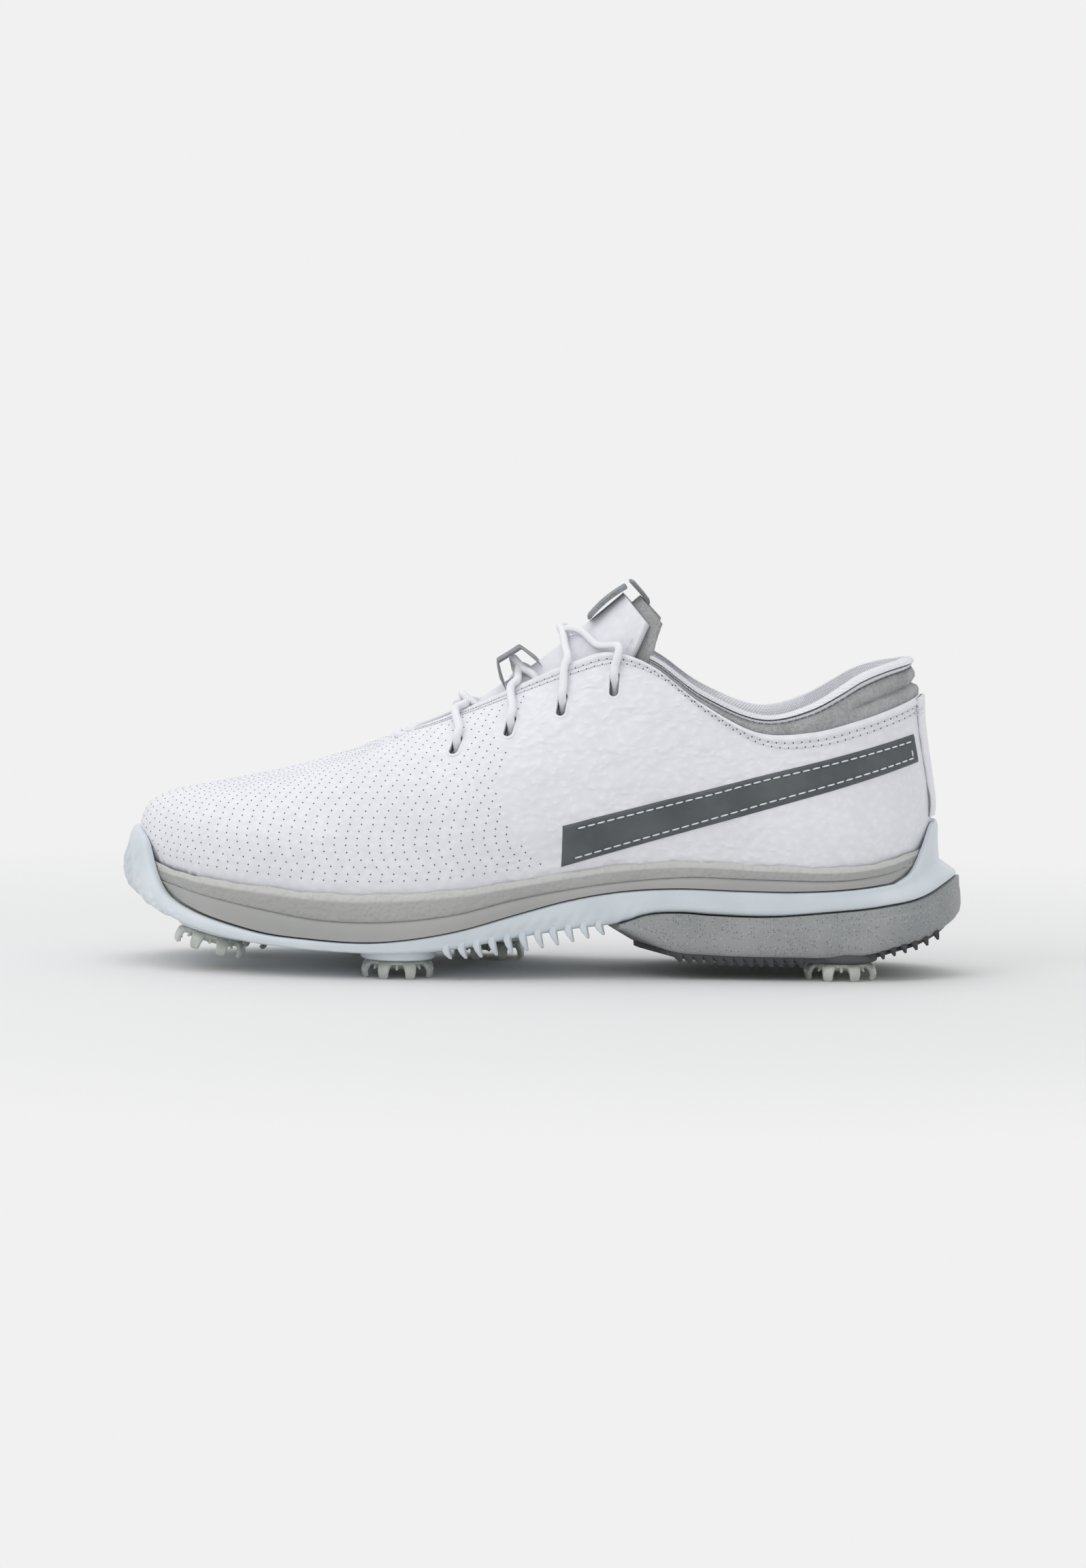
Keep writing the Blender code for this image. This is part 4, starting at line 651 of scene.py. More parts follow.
def toe_gathers():
    """Small vertical puckers where the leather is pulled in over the toe."""
    around = np.cumsum(np.linalg.norm(np.roll(SHELL[:, 0], -1, 0) - SHELL[:, 0], axis=1))
    fade = (1 - smooth_step(2.0, 9.0, SHELL_ARC)) * (1 - smooth_step(0.1, 0.3, TURN_T))[:, None]
    ripple = np.sin(around * 2 * math.pi / 4.6)[:, None] + 0.5 * np.sin(around * 2 * math.pi / 2.9)[:, None]
    return -0.16 * fade * (1 + ripple)


def flex_waves():
    """Soft waves across the flex zone of the vamp and along the quarter."""
    x, z = SHELL[..., 0], SHELL[..., 2]
    vamp = np.exp(-((x + 62) / 26) ** 2) * np.sin(x * 0.33 + z * 0.2)
    quarter = np.exp(-((x - 34) / 34) ** 2) * np.sin(x * 0.42 - z * 0.5) * (1 - smooth_step(84, 104, z))
    inner = smooth_step(6, 16, SHELL_ARC) * smooth_step(3, 12, SHELL_ARC[:, -1:] - SHELL_ARC)
    return (0.16 * vamp + 0.14 * quarter) * inner


SKIN = SHELL + SHELL_N * (toe_gathers() + flex_waves())[..., None]


def build_upper():
    left = SHELL_ARC[:, -1:] - SHELL_ARC
    bead = 0.42 * np.exp(-((left - 0.9) / 0.85) ** 2) - 0.12 * np.exp(-((left - 2.2) / 0.5) ** 2)
    face = SKIN + SHELL_N * bead[..., None]
    low = feather(TURN_T, TURN_SIDE) - 1.2 * feather_out(TURN_T, TURN_SIDE)
    tuck = [low - np.array((0, 0, TUCK_DEPTH)), low - np.array((0, 0, 2.4)), low - np.array((0, 0, 0.5))]
    n, up = SHELL_N[:, -1], unit(SHELL[:, -1] - SHELL[:, -2])
    edge, half = SHELL[:, -1], LEATHER / 2
    cap = [edge - n * half + (n * math.cos(a) + up * math.sin(a)) * (half + 0.15)
           for a in (0.5, 1.1, 1.6, 2.1, 2.7)]
    inner_rows = np.linspace(len(ROWS_V) - 2, 0, 16).astype(int)
    inner = [SHELL[:, r] - SHELL_N[:, r] * LEATHER for r in inner_rows]
    inner.append(low - feather_out(TURN_T, TURN_SIDE) * LEATHER - np.array((0, 0, TUCK_DEPTH)))
    rows = tuck + [face[:, r] for r in range(face.shape[1])] + cap + inner
    return loft("upper_leather_shell", np.stack(rows, axis=1), WHITE, wrap=True, slot="leather")


def locate(x, z, side):
    """Station and height of the upper's point that the side view shows at (x, z)."""
    t, v, step = 0.3 + 0.3 * (x + 50) / 75, 0.85, 0.08
    moves = np.array([(i, j) for i in (-1, 0, 1) for j in (-1, 0, 1)], float)
    while step > 0.0004:
        options = np.clip(moves * step + (t, v), 0, 1)
        p = surface(options[:, 0], options[:, 1], side)
        best = int(np.argmin(np.hypot(p[:, 0] - x, p[:, 2] - z)))
        if best == 4:
            step /= 2
        t, v = options[best]
    return t, v


def frame_at(t, v, side):
    """Point, outward normal and upward direction of the upper at one spot, as in the CAD model."""
    p, n, up = surface_frame(t, v, side)
    return np.array(p), np.array(n), np.array(up)


SLOT_FRAMES = {side: [frame_at(*locate(x, z, side), side) for x, z in SLOTS_XZ] for side in (-1, 1)}


def stadium(width, height, count=20):
    """Outline of an upright slot with round ends, anticlockwise from the right."""
    r, straight = width / 2, height / 2 - width / 2
    turn = np.linspace(0, 2 * math.pi, count, endpoint=False) + math.pi / count
    return np.stack([r * np.cos(turn), r * np.sin(turn) + straight * np.sign(np.sin(turn))], axis=1)


def slot_rings(side, k, levels):
    """Rings of a slot's outline at (extra width, height over the face) levels."""
    p, n, up = SLOT_FRAMES[side][k]
    right = np.cross(up, n)
    rings = []
    for grow, lift in levels:
        flat = stadium(SLOT_WIDTH + 2 * grow, SLOT_HEIGHT + 2 * grow)
        rings.append(p + np.outer(flat[:, 0], right) + np.outer(flat[:, 1], up) + n * lift)
    return rings


def cut_slots(*items):
    parts = [loft_parts(slot_rings(side, k, ((0, 4), (0, -6)))) for side in (-1, 1)
             for k in range(len(SLOTS_XZ))]
    cutter = merged("slot_cutter", parts, HOLE_SHADE)
    for item in items:
        cut = item.modifiers.new("slots", "BOOLEAN")
        cut.operation = "DIFFERENCE"
        cut.solver = "EXACT"
        cut.object = cutter
        bpy.context.view_layer.update()
        graph = bpy.context.evaluated_depsgraph_get()
        fresh = bpy.data.meshes.new_from_object(item.evaluated_get(graph))
        item.modifiers.clear()
        item.data = fresh
    bpy.data.objects.remove(cutter)


RIM_LEVELS = ((0.0, -0.8), (0.0, 0.0), (0.12, 0.12), (0.5, 0.15), (0.95, 0.07), (1.2, -0.12), (1.1, -0.8))
WALL_LEVELS = ((0.05, -0.5), (-0.05, -1.6), (0.3, -4.4))


def build_slot_rims():
    """Pressed rim round each slot and the wall of its cut, coloured dark grey as painted shade."""
    rims, walls = [], []
    for side in (-1, 1):
        for k in range(len(SLOTS_XZ)):
            rims.append(loft_parts(slot_rings(side, k, RIM_LEVELS), cap=False))
            walls.append(loft_parts(slot_rings(side, k, WALL_LEVELS), cap=False))
    merged("slot_rims", rims, WHITE_PLAIN, slot="leather")
    merged("slot_walls", walls, SLOT_WALL_SHADE, slot="leather")


def lining_grid(t, side, rows, outer, inner):
    """Closed sections of a sheet behind the upper's face, between two depths."""
    p, n, _ = surface_frame(t[:, None], rows[None, :], side[:, None])
    n = throat_lean(n, t, rows)
    return np.concatenate([p - n * outer, (p - n * inner)[:, ::-1]], axis=1)


def build_vamp_lining():
    t, side = open_loop(0.64, 0.004, 70, first=1)
    sections = lining_grid(t, side, np.linspace(0.04, 0.992, 26), LINING_FACE, LINING_BACK)
    return loft("vamp_lining_twill", sections, MESH_LINING, slot="twill")


# ------------------------------------------------------------------ stitching and perforations
def capsule_parts(centre, ahead, out, length, radius, sides=6):
    """Small raised stitch along ahead."""
    share = np.linspace(-1, 1, 6)
    spine = centre + np.outer(share * length / 2, ahead) + np.outer((1 - share ** 2) * radius * 0.5, out)
    return tube_parts(spine, radius * np.sqrt(np.maximum(1 - share ** 4, 0.12)), sides)


def dish_parts(centre, n, right, up, wide, high, sides=8, lift=0.05):
    """Small round hole, drawn as a dish just over the face, to be coloured dark as painted shade."""
    turn = np.arange(sides) * 2 * math.pi / sides
    ring = np.outer(np.cos(turn) * wide, right) + np.outer(np.sin(turn) * high, up)
    return loft_parts([centre + ring * size + n * (lift + rise)
                       for size, rise in ((1, 0), (0.82, 0.02), (0.5, -0.02))])


def sew(line, normals, pitch, length, radius, start=0.0):
    """Stitches and their needle holes along a line of points with normals; the holes are dishes that carry
    painted shade.
    """
    walked = np.concatenate([[0], np.cumsum(np.linalg.norm(np.diff(line, axis=0), axis=1))])
    threads, holes = [], []
    at = start
    while at + pitch < walked[-1]:
        mid, gap = at + length / 2, at - (pitch - length) / 2
        spot, hole, n = (np.array([np.interp(s, walked, rows[:, c]) for c in range(3)])
                         for s, rows in ((mid, line), (gap, line), (mid, normals)))
        ahead = unit(np.array([np.interp(mid + 0.4, walked, line[:, c]) for c in range(3)]) - spot)
        n = unit(n - ahead * (n @ ahead))
        threads.append(capsule_parts(spot + n * 0.08, ahead, n, length, radius))
        holes.append(dish_parts(hole, n, ahead, np.cross(n, ahead), 0.24, 0.34, 6))
        at += pitch
    return threads, holes


def edge_line(side, below, low=0.34, high=0.985, count=220):
    """Line on the upper a distance below its top edge, with normals."""
    t = np.linspace(low, high, count)
    v = np.linspace(0.6, 1, 60)
    p = surface(t[:, None], v[None, :], side)
    left = np.cumsum(np.linalg.norm(np.diff(p[:, ::-1], axis=1), axis=2), axis=1)
    rows = np.array([np.interp(below, left[i], v[::-1][1:]) for i in range(count)])
    p, n, _ = surface_frame(t, rows, side)
    return p, n


def build_edge_stitching():
    threads, holes = [], []
    for side in (-1, 1):
        for below, start in ((2.3, 1.0), (4.2, 2.5)):
            p, n = edge_line(side, below)
            more, marks = sew(p + n * 0.05, n, 3.0, 2.3, 0.24, start)
            threads += more
            holes += marks
    merged("edge_stitches", threads, THREAD, slot="leather")
    merged("edge_needle_holes", holes, HOLE_SHADE, slot="leather")


PERFORATED_TO = Curve([(30, 22), (36, 8), (43, -2), (52, -10), (66, -15.5), (82, -13), (98, -6)])


def build_perforations():
    """Small holes over the vamp, in rows that follow the sole and are spaced evenly along it, drawn as dark
    dishes of painted shade rather than cut through.
    """
    holes = []
    rise, pitch, radius = 2.55, 4.1, 0.26
    arc_end = SHELL_ARC[:, -1]
    for k in range(40):
        height = 5.5 + k * rise
        line, normals, left = [], [], []
        for i in range(len(TURN_T)):
            if height > arc_end[i] - 6:
                continue
            line.append([np.interp(height, SHELL_ARC[i], SKIN[i, :, c]) for c in range(3)])
            normals.append([np.interp(height, SHELL_ARC[i], SHELL_N[i, :, c]) for c in range(3)])
            left.append(i)
        if len(line) < 4:
            continue
        order = np.argsort([i - len(TURN_T) if TURN_SIDE[i] > 0 else i for i in left])
        line, normals = np.array(line)[order], unit(np.array(normals)[order])
        toe = int(np.argmin(line[:, 0]))
        walked = np.concatenate([[0], np.cumsum(np.linalg.norm(np.diff(line, axis=0), axis=1))])
        walked -= walked[toe]
        steps = np.arange(math.ceil(walked[0] / pitch), walked[-1] / pitch) + 0.5 * (k % 2)
        for s in steps * pitch:
            if s > walked[-1]:
                continue
            p = np.array([np.interp(s, walked, line[:, c]) for c in range(3)])
            if p[0] > PERFORATED_TO(p[2]) or near_slot(p):
                continue
            n = unit(np.array([np.interp(s, walked, normals[:, c]) for c in range(3)]))
            right = unit(np.cross((0, 0, 1.0), n) if abs(n[2]) < 0.95 else np.cross((0, 1.0, 0), n))
            holes.append(dish_parts(p, n, right, np.cross(n, right), radius, radius, 8, 0.1))
    merged("perforations", holes, HOLE_SHADE, slot="leather")


def near_slot(p):
    for side in (-1, 1):
        for spot, _, up in SLOT_FRAMES[side]:
            d = p - spot
            tall = d @ up
            wide = np.linalg.norm(d - up * tall)
            if abs(tall) < 7.5 and wide < 4.4:
                return True
    return False


# ------------------------------------------------------------------ side bands
BAND_TOP = ((134, 87.4), (-6, 51.5))
BAND_BOTTOM = ((134, 77), (-6, 36.5))


def band_v(line, t, side):
    """Height on the upper where a straight line of the side view crosses it, at each station."""
    (x0, z0), (x1, z1) = line
    low, high = np.full_like(t, 0.02), np.full_like(t, 0.98)
    for _ in range(24):
        v = (low + high) / 2
        p = surface(t, v, side)
        above = p[:, 2] > z0 + (z1 - z0) * (p[:, 0] - x0) / (x1 - x0)
        low, high = np.where(above, low, v), np.where(above, v, high)
    return (low + high) / 2


def build_bands():
    threads, holes = [], []
    for side, word in ((-1, "lateral"), (1, "medial")):
        t = np.linspace(0.515, 0.9375, 150)
        low, high = band_v(BAND_BOTTOM, t, side), band_v(BAND_TOP, t, side)
        share = np.linspace(0, 1, 25)
        v = low[:, None] + (high - low)[:, None] * share[None, :]
        p, n, _ = surface_frame(t[:, None], v, side)
        from_edge = np.linalg.norm(p - p[:, :1], axis=2)
        to_edge = np.minimum(from_edge, np.linalg.norm(p - p[:, -1:], axis=2))
        ends = np.minimum(np.linalg.norm(p - p[:1], axis=2), np.linalg.norm(p - p[-1:], axis=2))
        near = np.minimum(to_edge, ends)
        height = 1.0 * smooth_step(-0.4, 1.1, near) + 0.16 * np.exp(-((near - 3.6) / 1.2) ** 2)
        height += 0.2 * smooth_step(2.5, 6, near) - 0.12 * np.exp(-((near - 2.1) / 0.4) ** 2)
        under = p - n * 0.3
        loft("side_band_" + word + "_synthetic",
             np.concatenate([under[:, :1], p + n * height[..., None], under[:, -1:]], axis=1), BAND,
             slot="side_band")
        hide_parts("side_band_" + word)
        for along_edge, start in ((2.1, 0.8), (-2.1, 1.6)):
            rows = []
            for i in range(len(t)):
                wide = from_edge[i, -1]
                s = along_edge if along_edge > 0 else wide + along_edge
                if 3.2 < wide:
                    rows.append([np.interp(s, from_edge[i], (p + n * 1.0)[i, :, c]) for c in range(3)] +
                                [np.interp(s, from_edge[i], n[i, :, c]) for c in range(3)])
            rows = np.array(rows)[3:-4]
            more, marks = sew(rows[:, :3], unit(rows[:, 3:]), 3.6, 2.9, 0.3, start)
            threads += more
            holes += marks
        heel = p[-7] + n[-7] * 1.0
        inner = (from_edge[-7] > 2.1) & (from_edge[-7] < from_edge[-7, -1] - 2.1)
        more, marks = sew(heel[inner], n[-7][inner], 3.0, 2.4, 0.3, 0.3)
        threads += more
        holes += marks
    merged("band_stitches", threads, THREAD, slot="side_band")
    merged("band_needle_holes", holes, HOLE_SHADE, slot="side_band")


# ------------------------------------------------------------------ collar and heel strip
COLLAR_PLAIN = [(-1.7, -5.5, 0), (-1.7, -2.5, 0), (-1.6, -0.6, 0), (-1.15, 0.2, 0.12), (-0.9, 0, 0.28),
                (-0.95, 0, 0.45), (-1.25, 0, 0.6), (-1.7, 0, 0.72), (-2.3, 0, 0.83), (-3.0, 0, 0.93),
                (-3.9, 0, 1.0), (-4.8, -0.4, 1.0)]
COLLAR_RIDGED = [(-1.7, -5.5, 0), (-1.7, -2.5, 0), (-1.6, -0.6, 0), (-1.1, 0.2, 0.1), (-1.0, 0, 0.24),
                 (-1.7, 0, 0.36), (-3.9, 0, 0.445), (-3.3, 0, 0.53), (-2.5, 0, 0.66), (-2.6, 0, 0.8),
                 (-3.6, 0, 0.95), (-5.0, -0.3, 1.0)]
COLLAR_RISE = Curve([(40, 1.2), (50, 1.2), (57, 1.6), (65, 2.4), (74, 3.6), (84, 4.9), (94, 6.6), (107, 9.9),
                     (115, 11.8), (124, 12.3), (136, 10.6)])
ROLL_SIZE = Curve([(40, 2.0), (57, 2.6), (84, 3.0), (100, 3.9), (112, 4.4), (124, 3.9), (136, 3.4)])


def rim_frame(t, side):
    """Top edge of the upper and the outward direction in plan there."""
    step = 0.02
    a = top_edge(np.maximum(t - step, 0), side)
    b = np.where((t > 1 - step)[:, None], top_edge(np.full_like(t, 1 - step), -side),
                 top_edge(np.minimum(t + step, 1), side))
    d = unit((b - a)[:, :2])
    return top_edge(t, side), np.stack([-side * d[:, 1], side * d[:, 0], np.zeros_like(t)], axis=1)


def collar_sections(t, side, profile):
    """Sections through the collar; profile gives rows of (offset outward, height) from the collar's rise,
    the share of its ridged shape, the roll's size and its fullness, which is less at the front."""
    p, n = rim_frame(t, side)
    x = p[:, 0]
    rise, roll = COLLAR_RISE(x), ROLL_SIZE(x)
    ridge = smooth_step(107, 114, x)
    rows = profile(rise, ridge, roll, smooth_step(40, 70, x))
    one = np.ones_like(x)
    return np.stack([p + n * (off * one)[:, None] + np.array((0, 0, 1.0)) * (z * one)[:, None]
                     for off, z in rows], axis=1)


def seam_offset(ridge, full):
    return (-3.7 * (1 - ridge) - 4.3 * ridge) * (0.6 + 0.4 * full)


def seam_rows(rise, ridge, roll, full):
    return [(seam_offset(ridge, full) + 0.25, rise - 0.18)]


def foam_rows(rise, ridge, roll, full):
    """Foam core between the suede and the rolled lining."""
    return [(-3.2 - 1.6 * ridge * full, -4.8), (-3.2 - 1.9 * ridge * full, 0.25 * rise),
            (-5.2 * (0.6 + 0.4 * full), 0.6 * rise), (-6.6 * (0.65 + 0.35 * full), 0.62 * rise),
            (-7.6 * (0.62 + 0.38 * full), 0.2 * rise - 0.6), (-7.2 * (0.62 + 0.38 * full), -4.8)]


def suede_rows(rise, ridge, roll, full):
    """Outside of the suede from its hidden lower edge to the seam under the roll."""
    return [((a * (1 - ridge) + b * ridge) * (0.6 + 0.4 * full),
             (az + ash * rise) * (1 - ridge) + (bz + bsh * rise) * ridge)
            for (a, az, ash), (b, bz, bsh) in zip(COLLAR_PLAIN, COLLAR_RIDGED)]


def roll_rows(rise, ridge, roll, full):
    """Outside of the rolled lining, from the seam over the top and down to the inside."""
    seam = seam_offset(ridge, full)
    deep = -9.4 * (0.62 + 0.38 * full)
    return [(seam - 0.9, rise - 0.5), (seam + 0.3, rise + 0.05), (seam + 0.75, rise + 0.28 * roll),
            (seam + 0.7, rise + 0.55 * roll), (seam + 0.2, rise + 0.8 * roll),
            (seam - 0.8, rise + 0.98 * roll), (seam - 2.0, rise + 1.02 * roll),
            (seam - 3.2, rise + 0.9 * roll),
            (deep + 1.2, rise * 0.8 + 0.3 * roll), (deep + 0.3, rise * 0.45), (deep, -1.0)]


def build_collar():
    t, side = open_loop(0.645, 1, 110)
    p, n = rim_frame(t, side)
    suede = collar_sections(t, side, suede_rows)
    x, rows = p[:, :1], suede.shape[1]
    wrinkle = np.sin(x * 0.9) * np.sin(np.linspace(0, math.pi, rows))
    bunch = np.exp(-((x - 112.5) / 2.2) ** 2) * np.sin(np.linspace(0.6, 2.8, rows))
    suede += n[:, None, :] * (0.07 * wrinkle + 0.45 * bunch)[..., None]
    inside = suede[:, ::-1] - n[:, None, :] * 0.9
    cover = loft("collar_suede_padded", np.concatenate([suede, inside], axis=1), SUEDE, slot="suede")
    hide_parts("collar_suede")
    roll = collar_sections(t, side, roll_rows)
    rows = np.linspace(0.72, 0.05, 14)
    face, normal, _ = surface_frame(t[:, None], rows[None, :], side[:, None])
    depth = 5.2 + 3.6 * smooth_step(0.2, 0.7, rows)[None, :] * smooth_step(0.64, 0.78, t)[:, None]
    inner = face - normal * depth[..., None]
    skin = np.concatenate([roll, inner], axis=1)
    back = (skin[:, 3:] + n[:, None, :] * 0.8)[:, ::-1]
    lining = loft("quarter_lining_padded", np.concatenate([skin, back], axis=1), TWILL, slot="twill")
    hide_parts("quarter_lining")
    core = collar_sections(t, side, foam_rows)
    foam = loft("collar_foam_core", core[4:-4], FOAM, slot="foam")
    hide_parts("collar_foam")
    seam = collar_sections(t, side, seam_rows)[:, 0]
    threads, _ = sew(seam, n, 2.6, 1.9, 0.22, 0.5)
    merged("collar_seam_stitches", threads, THREAD_DARK, slot="twill")


def build_heel_strip():
    """Folded strip over the heel seam, its layers showing at the edges, with bar tacks at the top."""
    v = np.linspace(1.0, 0.21, 46)
    t, side = open_loop(0.957, 1, 9)
    p = surface(t[None, :], v[:, None], side[None, :])
    n = np.zeros_like(p)
    n[..., 0] = 1.0
    n[..., 1] = np.linspace(-0.55, 0.55, 17)[None, :]
    n = unit(n)
    across = np.linspace(-1, 1, 17)[None, :]
    flare = 0.8 * np.exp(-((v - 0.3) / 0.09) ** 2)[:, None] * (0.4 + 0.6 * across ** 2)
    dome = 1.25 - 0.35 * across ** 6 + flare + 0.075 * np.sin(v * 40)[:, None] * across ** 4
    skins = {"heel_strip_cover": (dome, dome - 0.75, WHITE_PLAIN),
             "heel_strip_backing": (dome - 0.85, np.full_like(dome, -0.1), SUEDE_DARK)}
    lift = np.array((0, 0, 1.0)) * (0.7 * (v > 0.995))[:, None, None]
    for name, (high, low, finish) in skins.items():
        outer, inner = p + n * high[..., None] + lift, p + n * low[..., None] + lift
        loft(name, np.concatenate([outer, inner[:, ::-1]], axis=1), finish, slot="heel_strip")
    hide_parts("heel_strip")
    threads = []
    for height in (96.5, 95.4, 94.3):
        row = int(np.argmin(np.abs(surface(0.97, v, -1.0)[:, 2] - height)))
        for a, b, reach in ((0, 3, -1.6), (16, 13, 1.6)):
            ends = [p[row, j] + n[row, j] * (dome[row, j] + 0.1) for j in (a, b)]
            path = fine_path([p[row, a] + (0, reach, 0), *ends], 0.5)
            threads.append(tube_parts(path, 0.26, 6))
    merged("heel_bar_tacks", threads, THREAD, slot="heel_strip")


# ------------------------------------------------------------------ sole
MIDSOLE_TOE, MIDSOLE_HEEL = -145, 139.6
WEDGE_TOE, WEDGE_HEEL = -151, 146
PLATE_WALL = [(-143, 147.3, 5.5, (0, 0, 0)), (-146.8, 148.4, 3.2, (0.06, 0.02, 0.01)),
              (-149.5, 149, 1.6, (0.18, 0.1, 0.03)), (-150.6, 148.9, 1.0, (0.3, 0.24, 0.06)),
              (-151, 148.4, 0.9, (0.42, 0.4, 0.1)), (-150.8, 146.2, 0.75, (0.56, 0.57, 0.18)),
              (-150.2, 142.8, 0.7, (0.72, 0.75, 0.3)), (-149.2, 142.3, 0.7, (0.88, 0.88, 0.62)),
              (-148.3, 142.2, 0.75, (0.96, 0.96, 0.93))]
WEDGE_WALL = [(146, 3, 0), (148.2, 1.7, 0.03), (149.6, 0.8, 0.1), (150.6, 0.25, 0.2), (151, 0, 0.35),
              (150.9, 0.0, 0.5), (150.75, 0.05, 0.62), (150.6, 0.1, 0.7)]
BOSS_FACE = [(7.3, 0.8), (7.3, 0.15), (8.6, 0), (12.4, 0), (13.2, 0.5), (13.3, 1.3), (13.3, 3)]
HEEL_BOSS = [(7.3, 0.9), (7.3, 0.1), (8.5, 0), (12.2, 0), (13.1, 0.5), (13.3, 1.2), (13.3, 2.6), (12.6, 3.4)]
FIN_ROWS = [(0.9, 2.6, 0, 0.2), (0.55, 0.6, 0, 0), (0.8, 0, -0.4, 0.35), (1.6, 0, -0.85, 0.85),
            (2.6, 0, -1.0, 1.0), (5.5, 0, -0.96, 1.0), (9, 0, -0.7, 0.8), (13, 1.5, 0, 0)]


def ring_rows(x_toe, x_heel, inset, height, t, side):
    """One ring of outline points; inset and height are numbers or arrays over the stations."""
    x, y = plan(t, side, x_toe, x_heel, inset)
    return np.stack([x, y, np.broadcast_to(height, x.shape)], axis=1)


def ring_stack(rows, t, side):
    """Sections from (x_toe, x_heel, inset, height) rows, one ring for each."""
    return np.stack([ring_rows(*row, t, side) for row in rows], axis=1)


def sole_out(t, side):
    """Outward direction in plan of the sole's outline."""
    e = 0.008
    a, b = np.maximum(t - e, 0), np.minimum(t + e, 1)
    ax, ay = plan(a, side, -LENGTH / 2, LENGTH / 2, 0)
    bx, by = plan(b, side, -LENGTH / 2, LENGTH / 2, 0)
    d = unit(np.stack([bx - ax, by - ay], axis=1))
    n = np.stack([-side * d[:, 1], side * d[:, 0], np.zeros_like(t)], axis=1)
    n[t < 0.003] = (-1, 0, 0)
    n[t > 0.997] = (1, 0, 0)
    return n


def build_midsole():
    t, side = loop_stations(150)
    clip = in_clip(t)
    rim = 2.6 + 2.9 * clip
    outer = 0.3 + 4.1 * np.maximum(1 - smooth_step(0.1, 0.19, t), smooth_step(0.84, 0.91, t))
    top = FEATHER(along(t, -144.0, 138.6))
    x = along(t, MIDSOLE_TOE, MIDSOLE_HEEL)
    crease = CREASE(x)
    step = np.minimum(plate_top(t) + 0.6, crease - 0.8)
    wave = 0.22 * np.sin(x * 0.31) + 0.14 * np.sin(x * 0.83 + 1)
    rows = [(rim + 0.6, top - 3.5), (rim + 0.4, top - 1.0), (rim + 0.1, top + 0.1 + wave * 0.3),
            (rim - 0.5 * (1 - clip), top + 0.75 + wave), (outer + 0.9 + 0.3 * (1 - clip), top + 0.8 + wave),
            (outer + 0.35, top + 0.35 + wave), (outer + 0.12, top - 0.6 + wave * 0.5)]
    for share in (0.15, 0.35, 0.55, 0.75, 0.9):
        z = top - 0.9 + (crease + 0.9 - top) * share
        rows.append((outer + 0.2 - 0.35 * math.sin(math.pi * share), z))
    rows += [(outer + 0.3, crease + 0.35), (outer + 0.85, crease), (outer + 0.35, crease - 0.4)]
    for share in (0.25, 0.5, 0.75, 1.0):
        z = crease - 0.4 + (step + 0.4 - crease) * share
        rows.append((outer + 0.05 - 0.25 * math.sin(math.pi * share), z))
    rows += [(4.4, step - 0.1), (5.0, plate_bottom(t) + 3.2), (16, plate_bottom(t) + 3.2),
             (16, top - 5.8), (rim + 1.2, top - 5.6)]
    sections = ring_stack([(MIDSOLE_TOE, MIDSOLE_HEEL, *row) for row in rows], t, side)
    verts, faces, uvs = loft_parts(sections, wrap=True)
    # sheet heights for each ring; the first rings, round the top rim, fall in the midsole colour's painted
    # highlight band
    marks = np.interp(np.arange(len(rows)), [0, 3, 6, 12, 13, 14, 18, len(rows) - 1],
                      [0, 1, 3, 9.4, CREASE_V, 11, 16, 30])
    uvs[:, 1] = np.tile(marks, len(t))
    item = piece("midsole_foam_body", verts, faces, MIDSOLE, uvs, slot="midsole")
    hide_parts("midsole")


def plate_relief(t, share):
    """Ribs of the plate's wall: toe petals, low ribs under the ball and flutes over the arch fins."""
    x = along(t, -150, 146)
    toe = (1 - smooth_step(0.14, 0.2, t)) * smooth_step(0.0, 0.12, share) * (1 - smooth_step(0.6, 0.9, share))
    phase = (t * 26 + 1.4 * share) % 1
    petals = 1.1 * toe * (phase ** 1.5 - 0.35)
    ball = np.exp(-((x + 56) / 26) ** 4) * (1 - smooth_step(0.25, 0.6, share))
    ribs = 0.5 * ball * np.maximum(0, np.sin((x + 4 * share) * 2 * math.pi / 6.2))
    arch = np.exp(-((x - 6) / 30) ** 4) * (1 - smooth_step(0.45, 0.95, share))
    flutes = 1.0 * arch * (0.5 + 0.5 * np.cos(((x - 9 * share + 34) / 5.4) * 2 * math.pi)) ** 2
    return petals + ribs + flutes


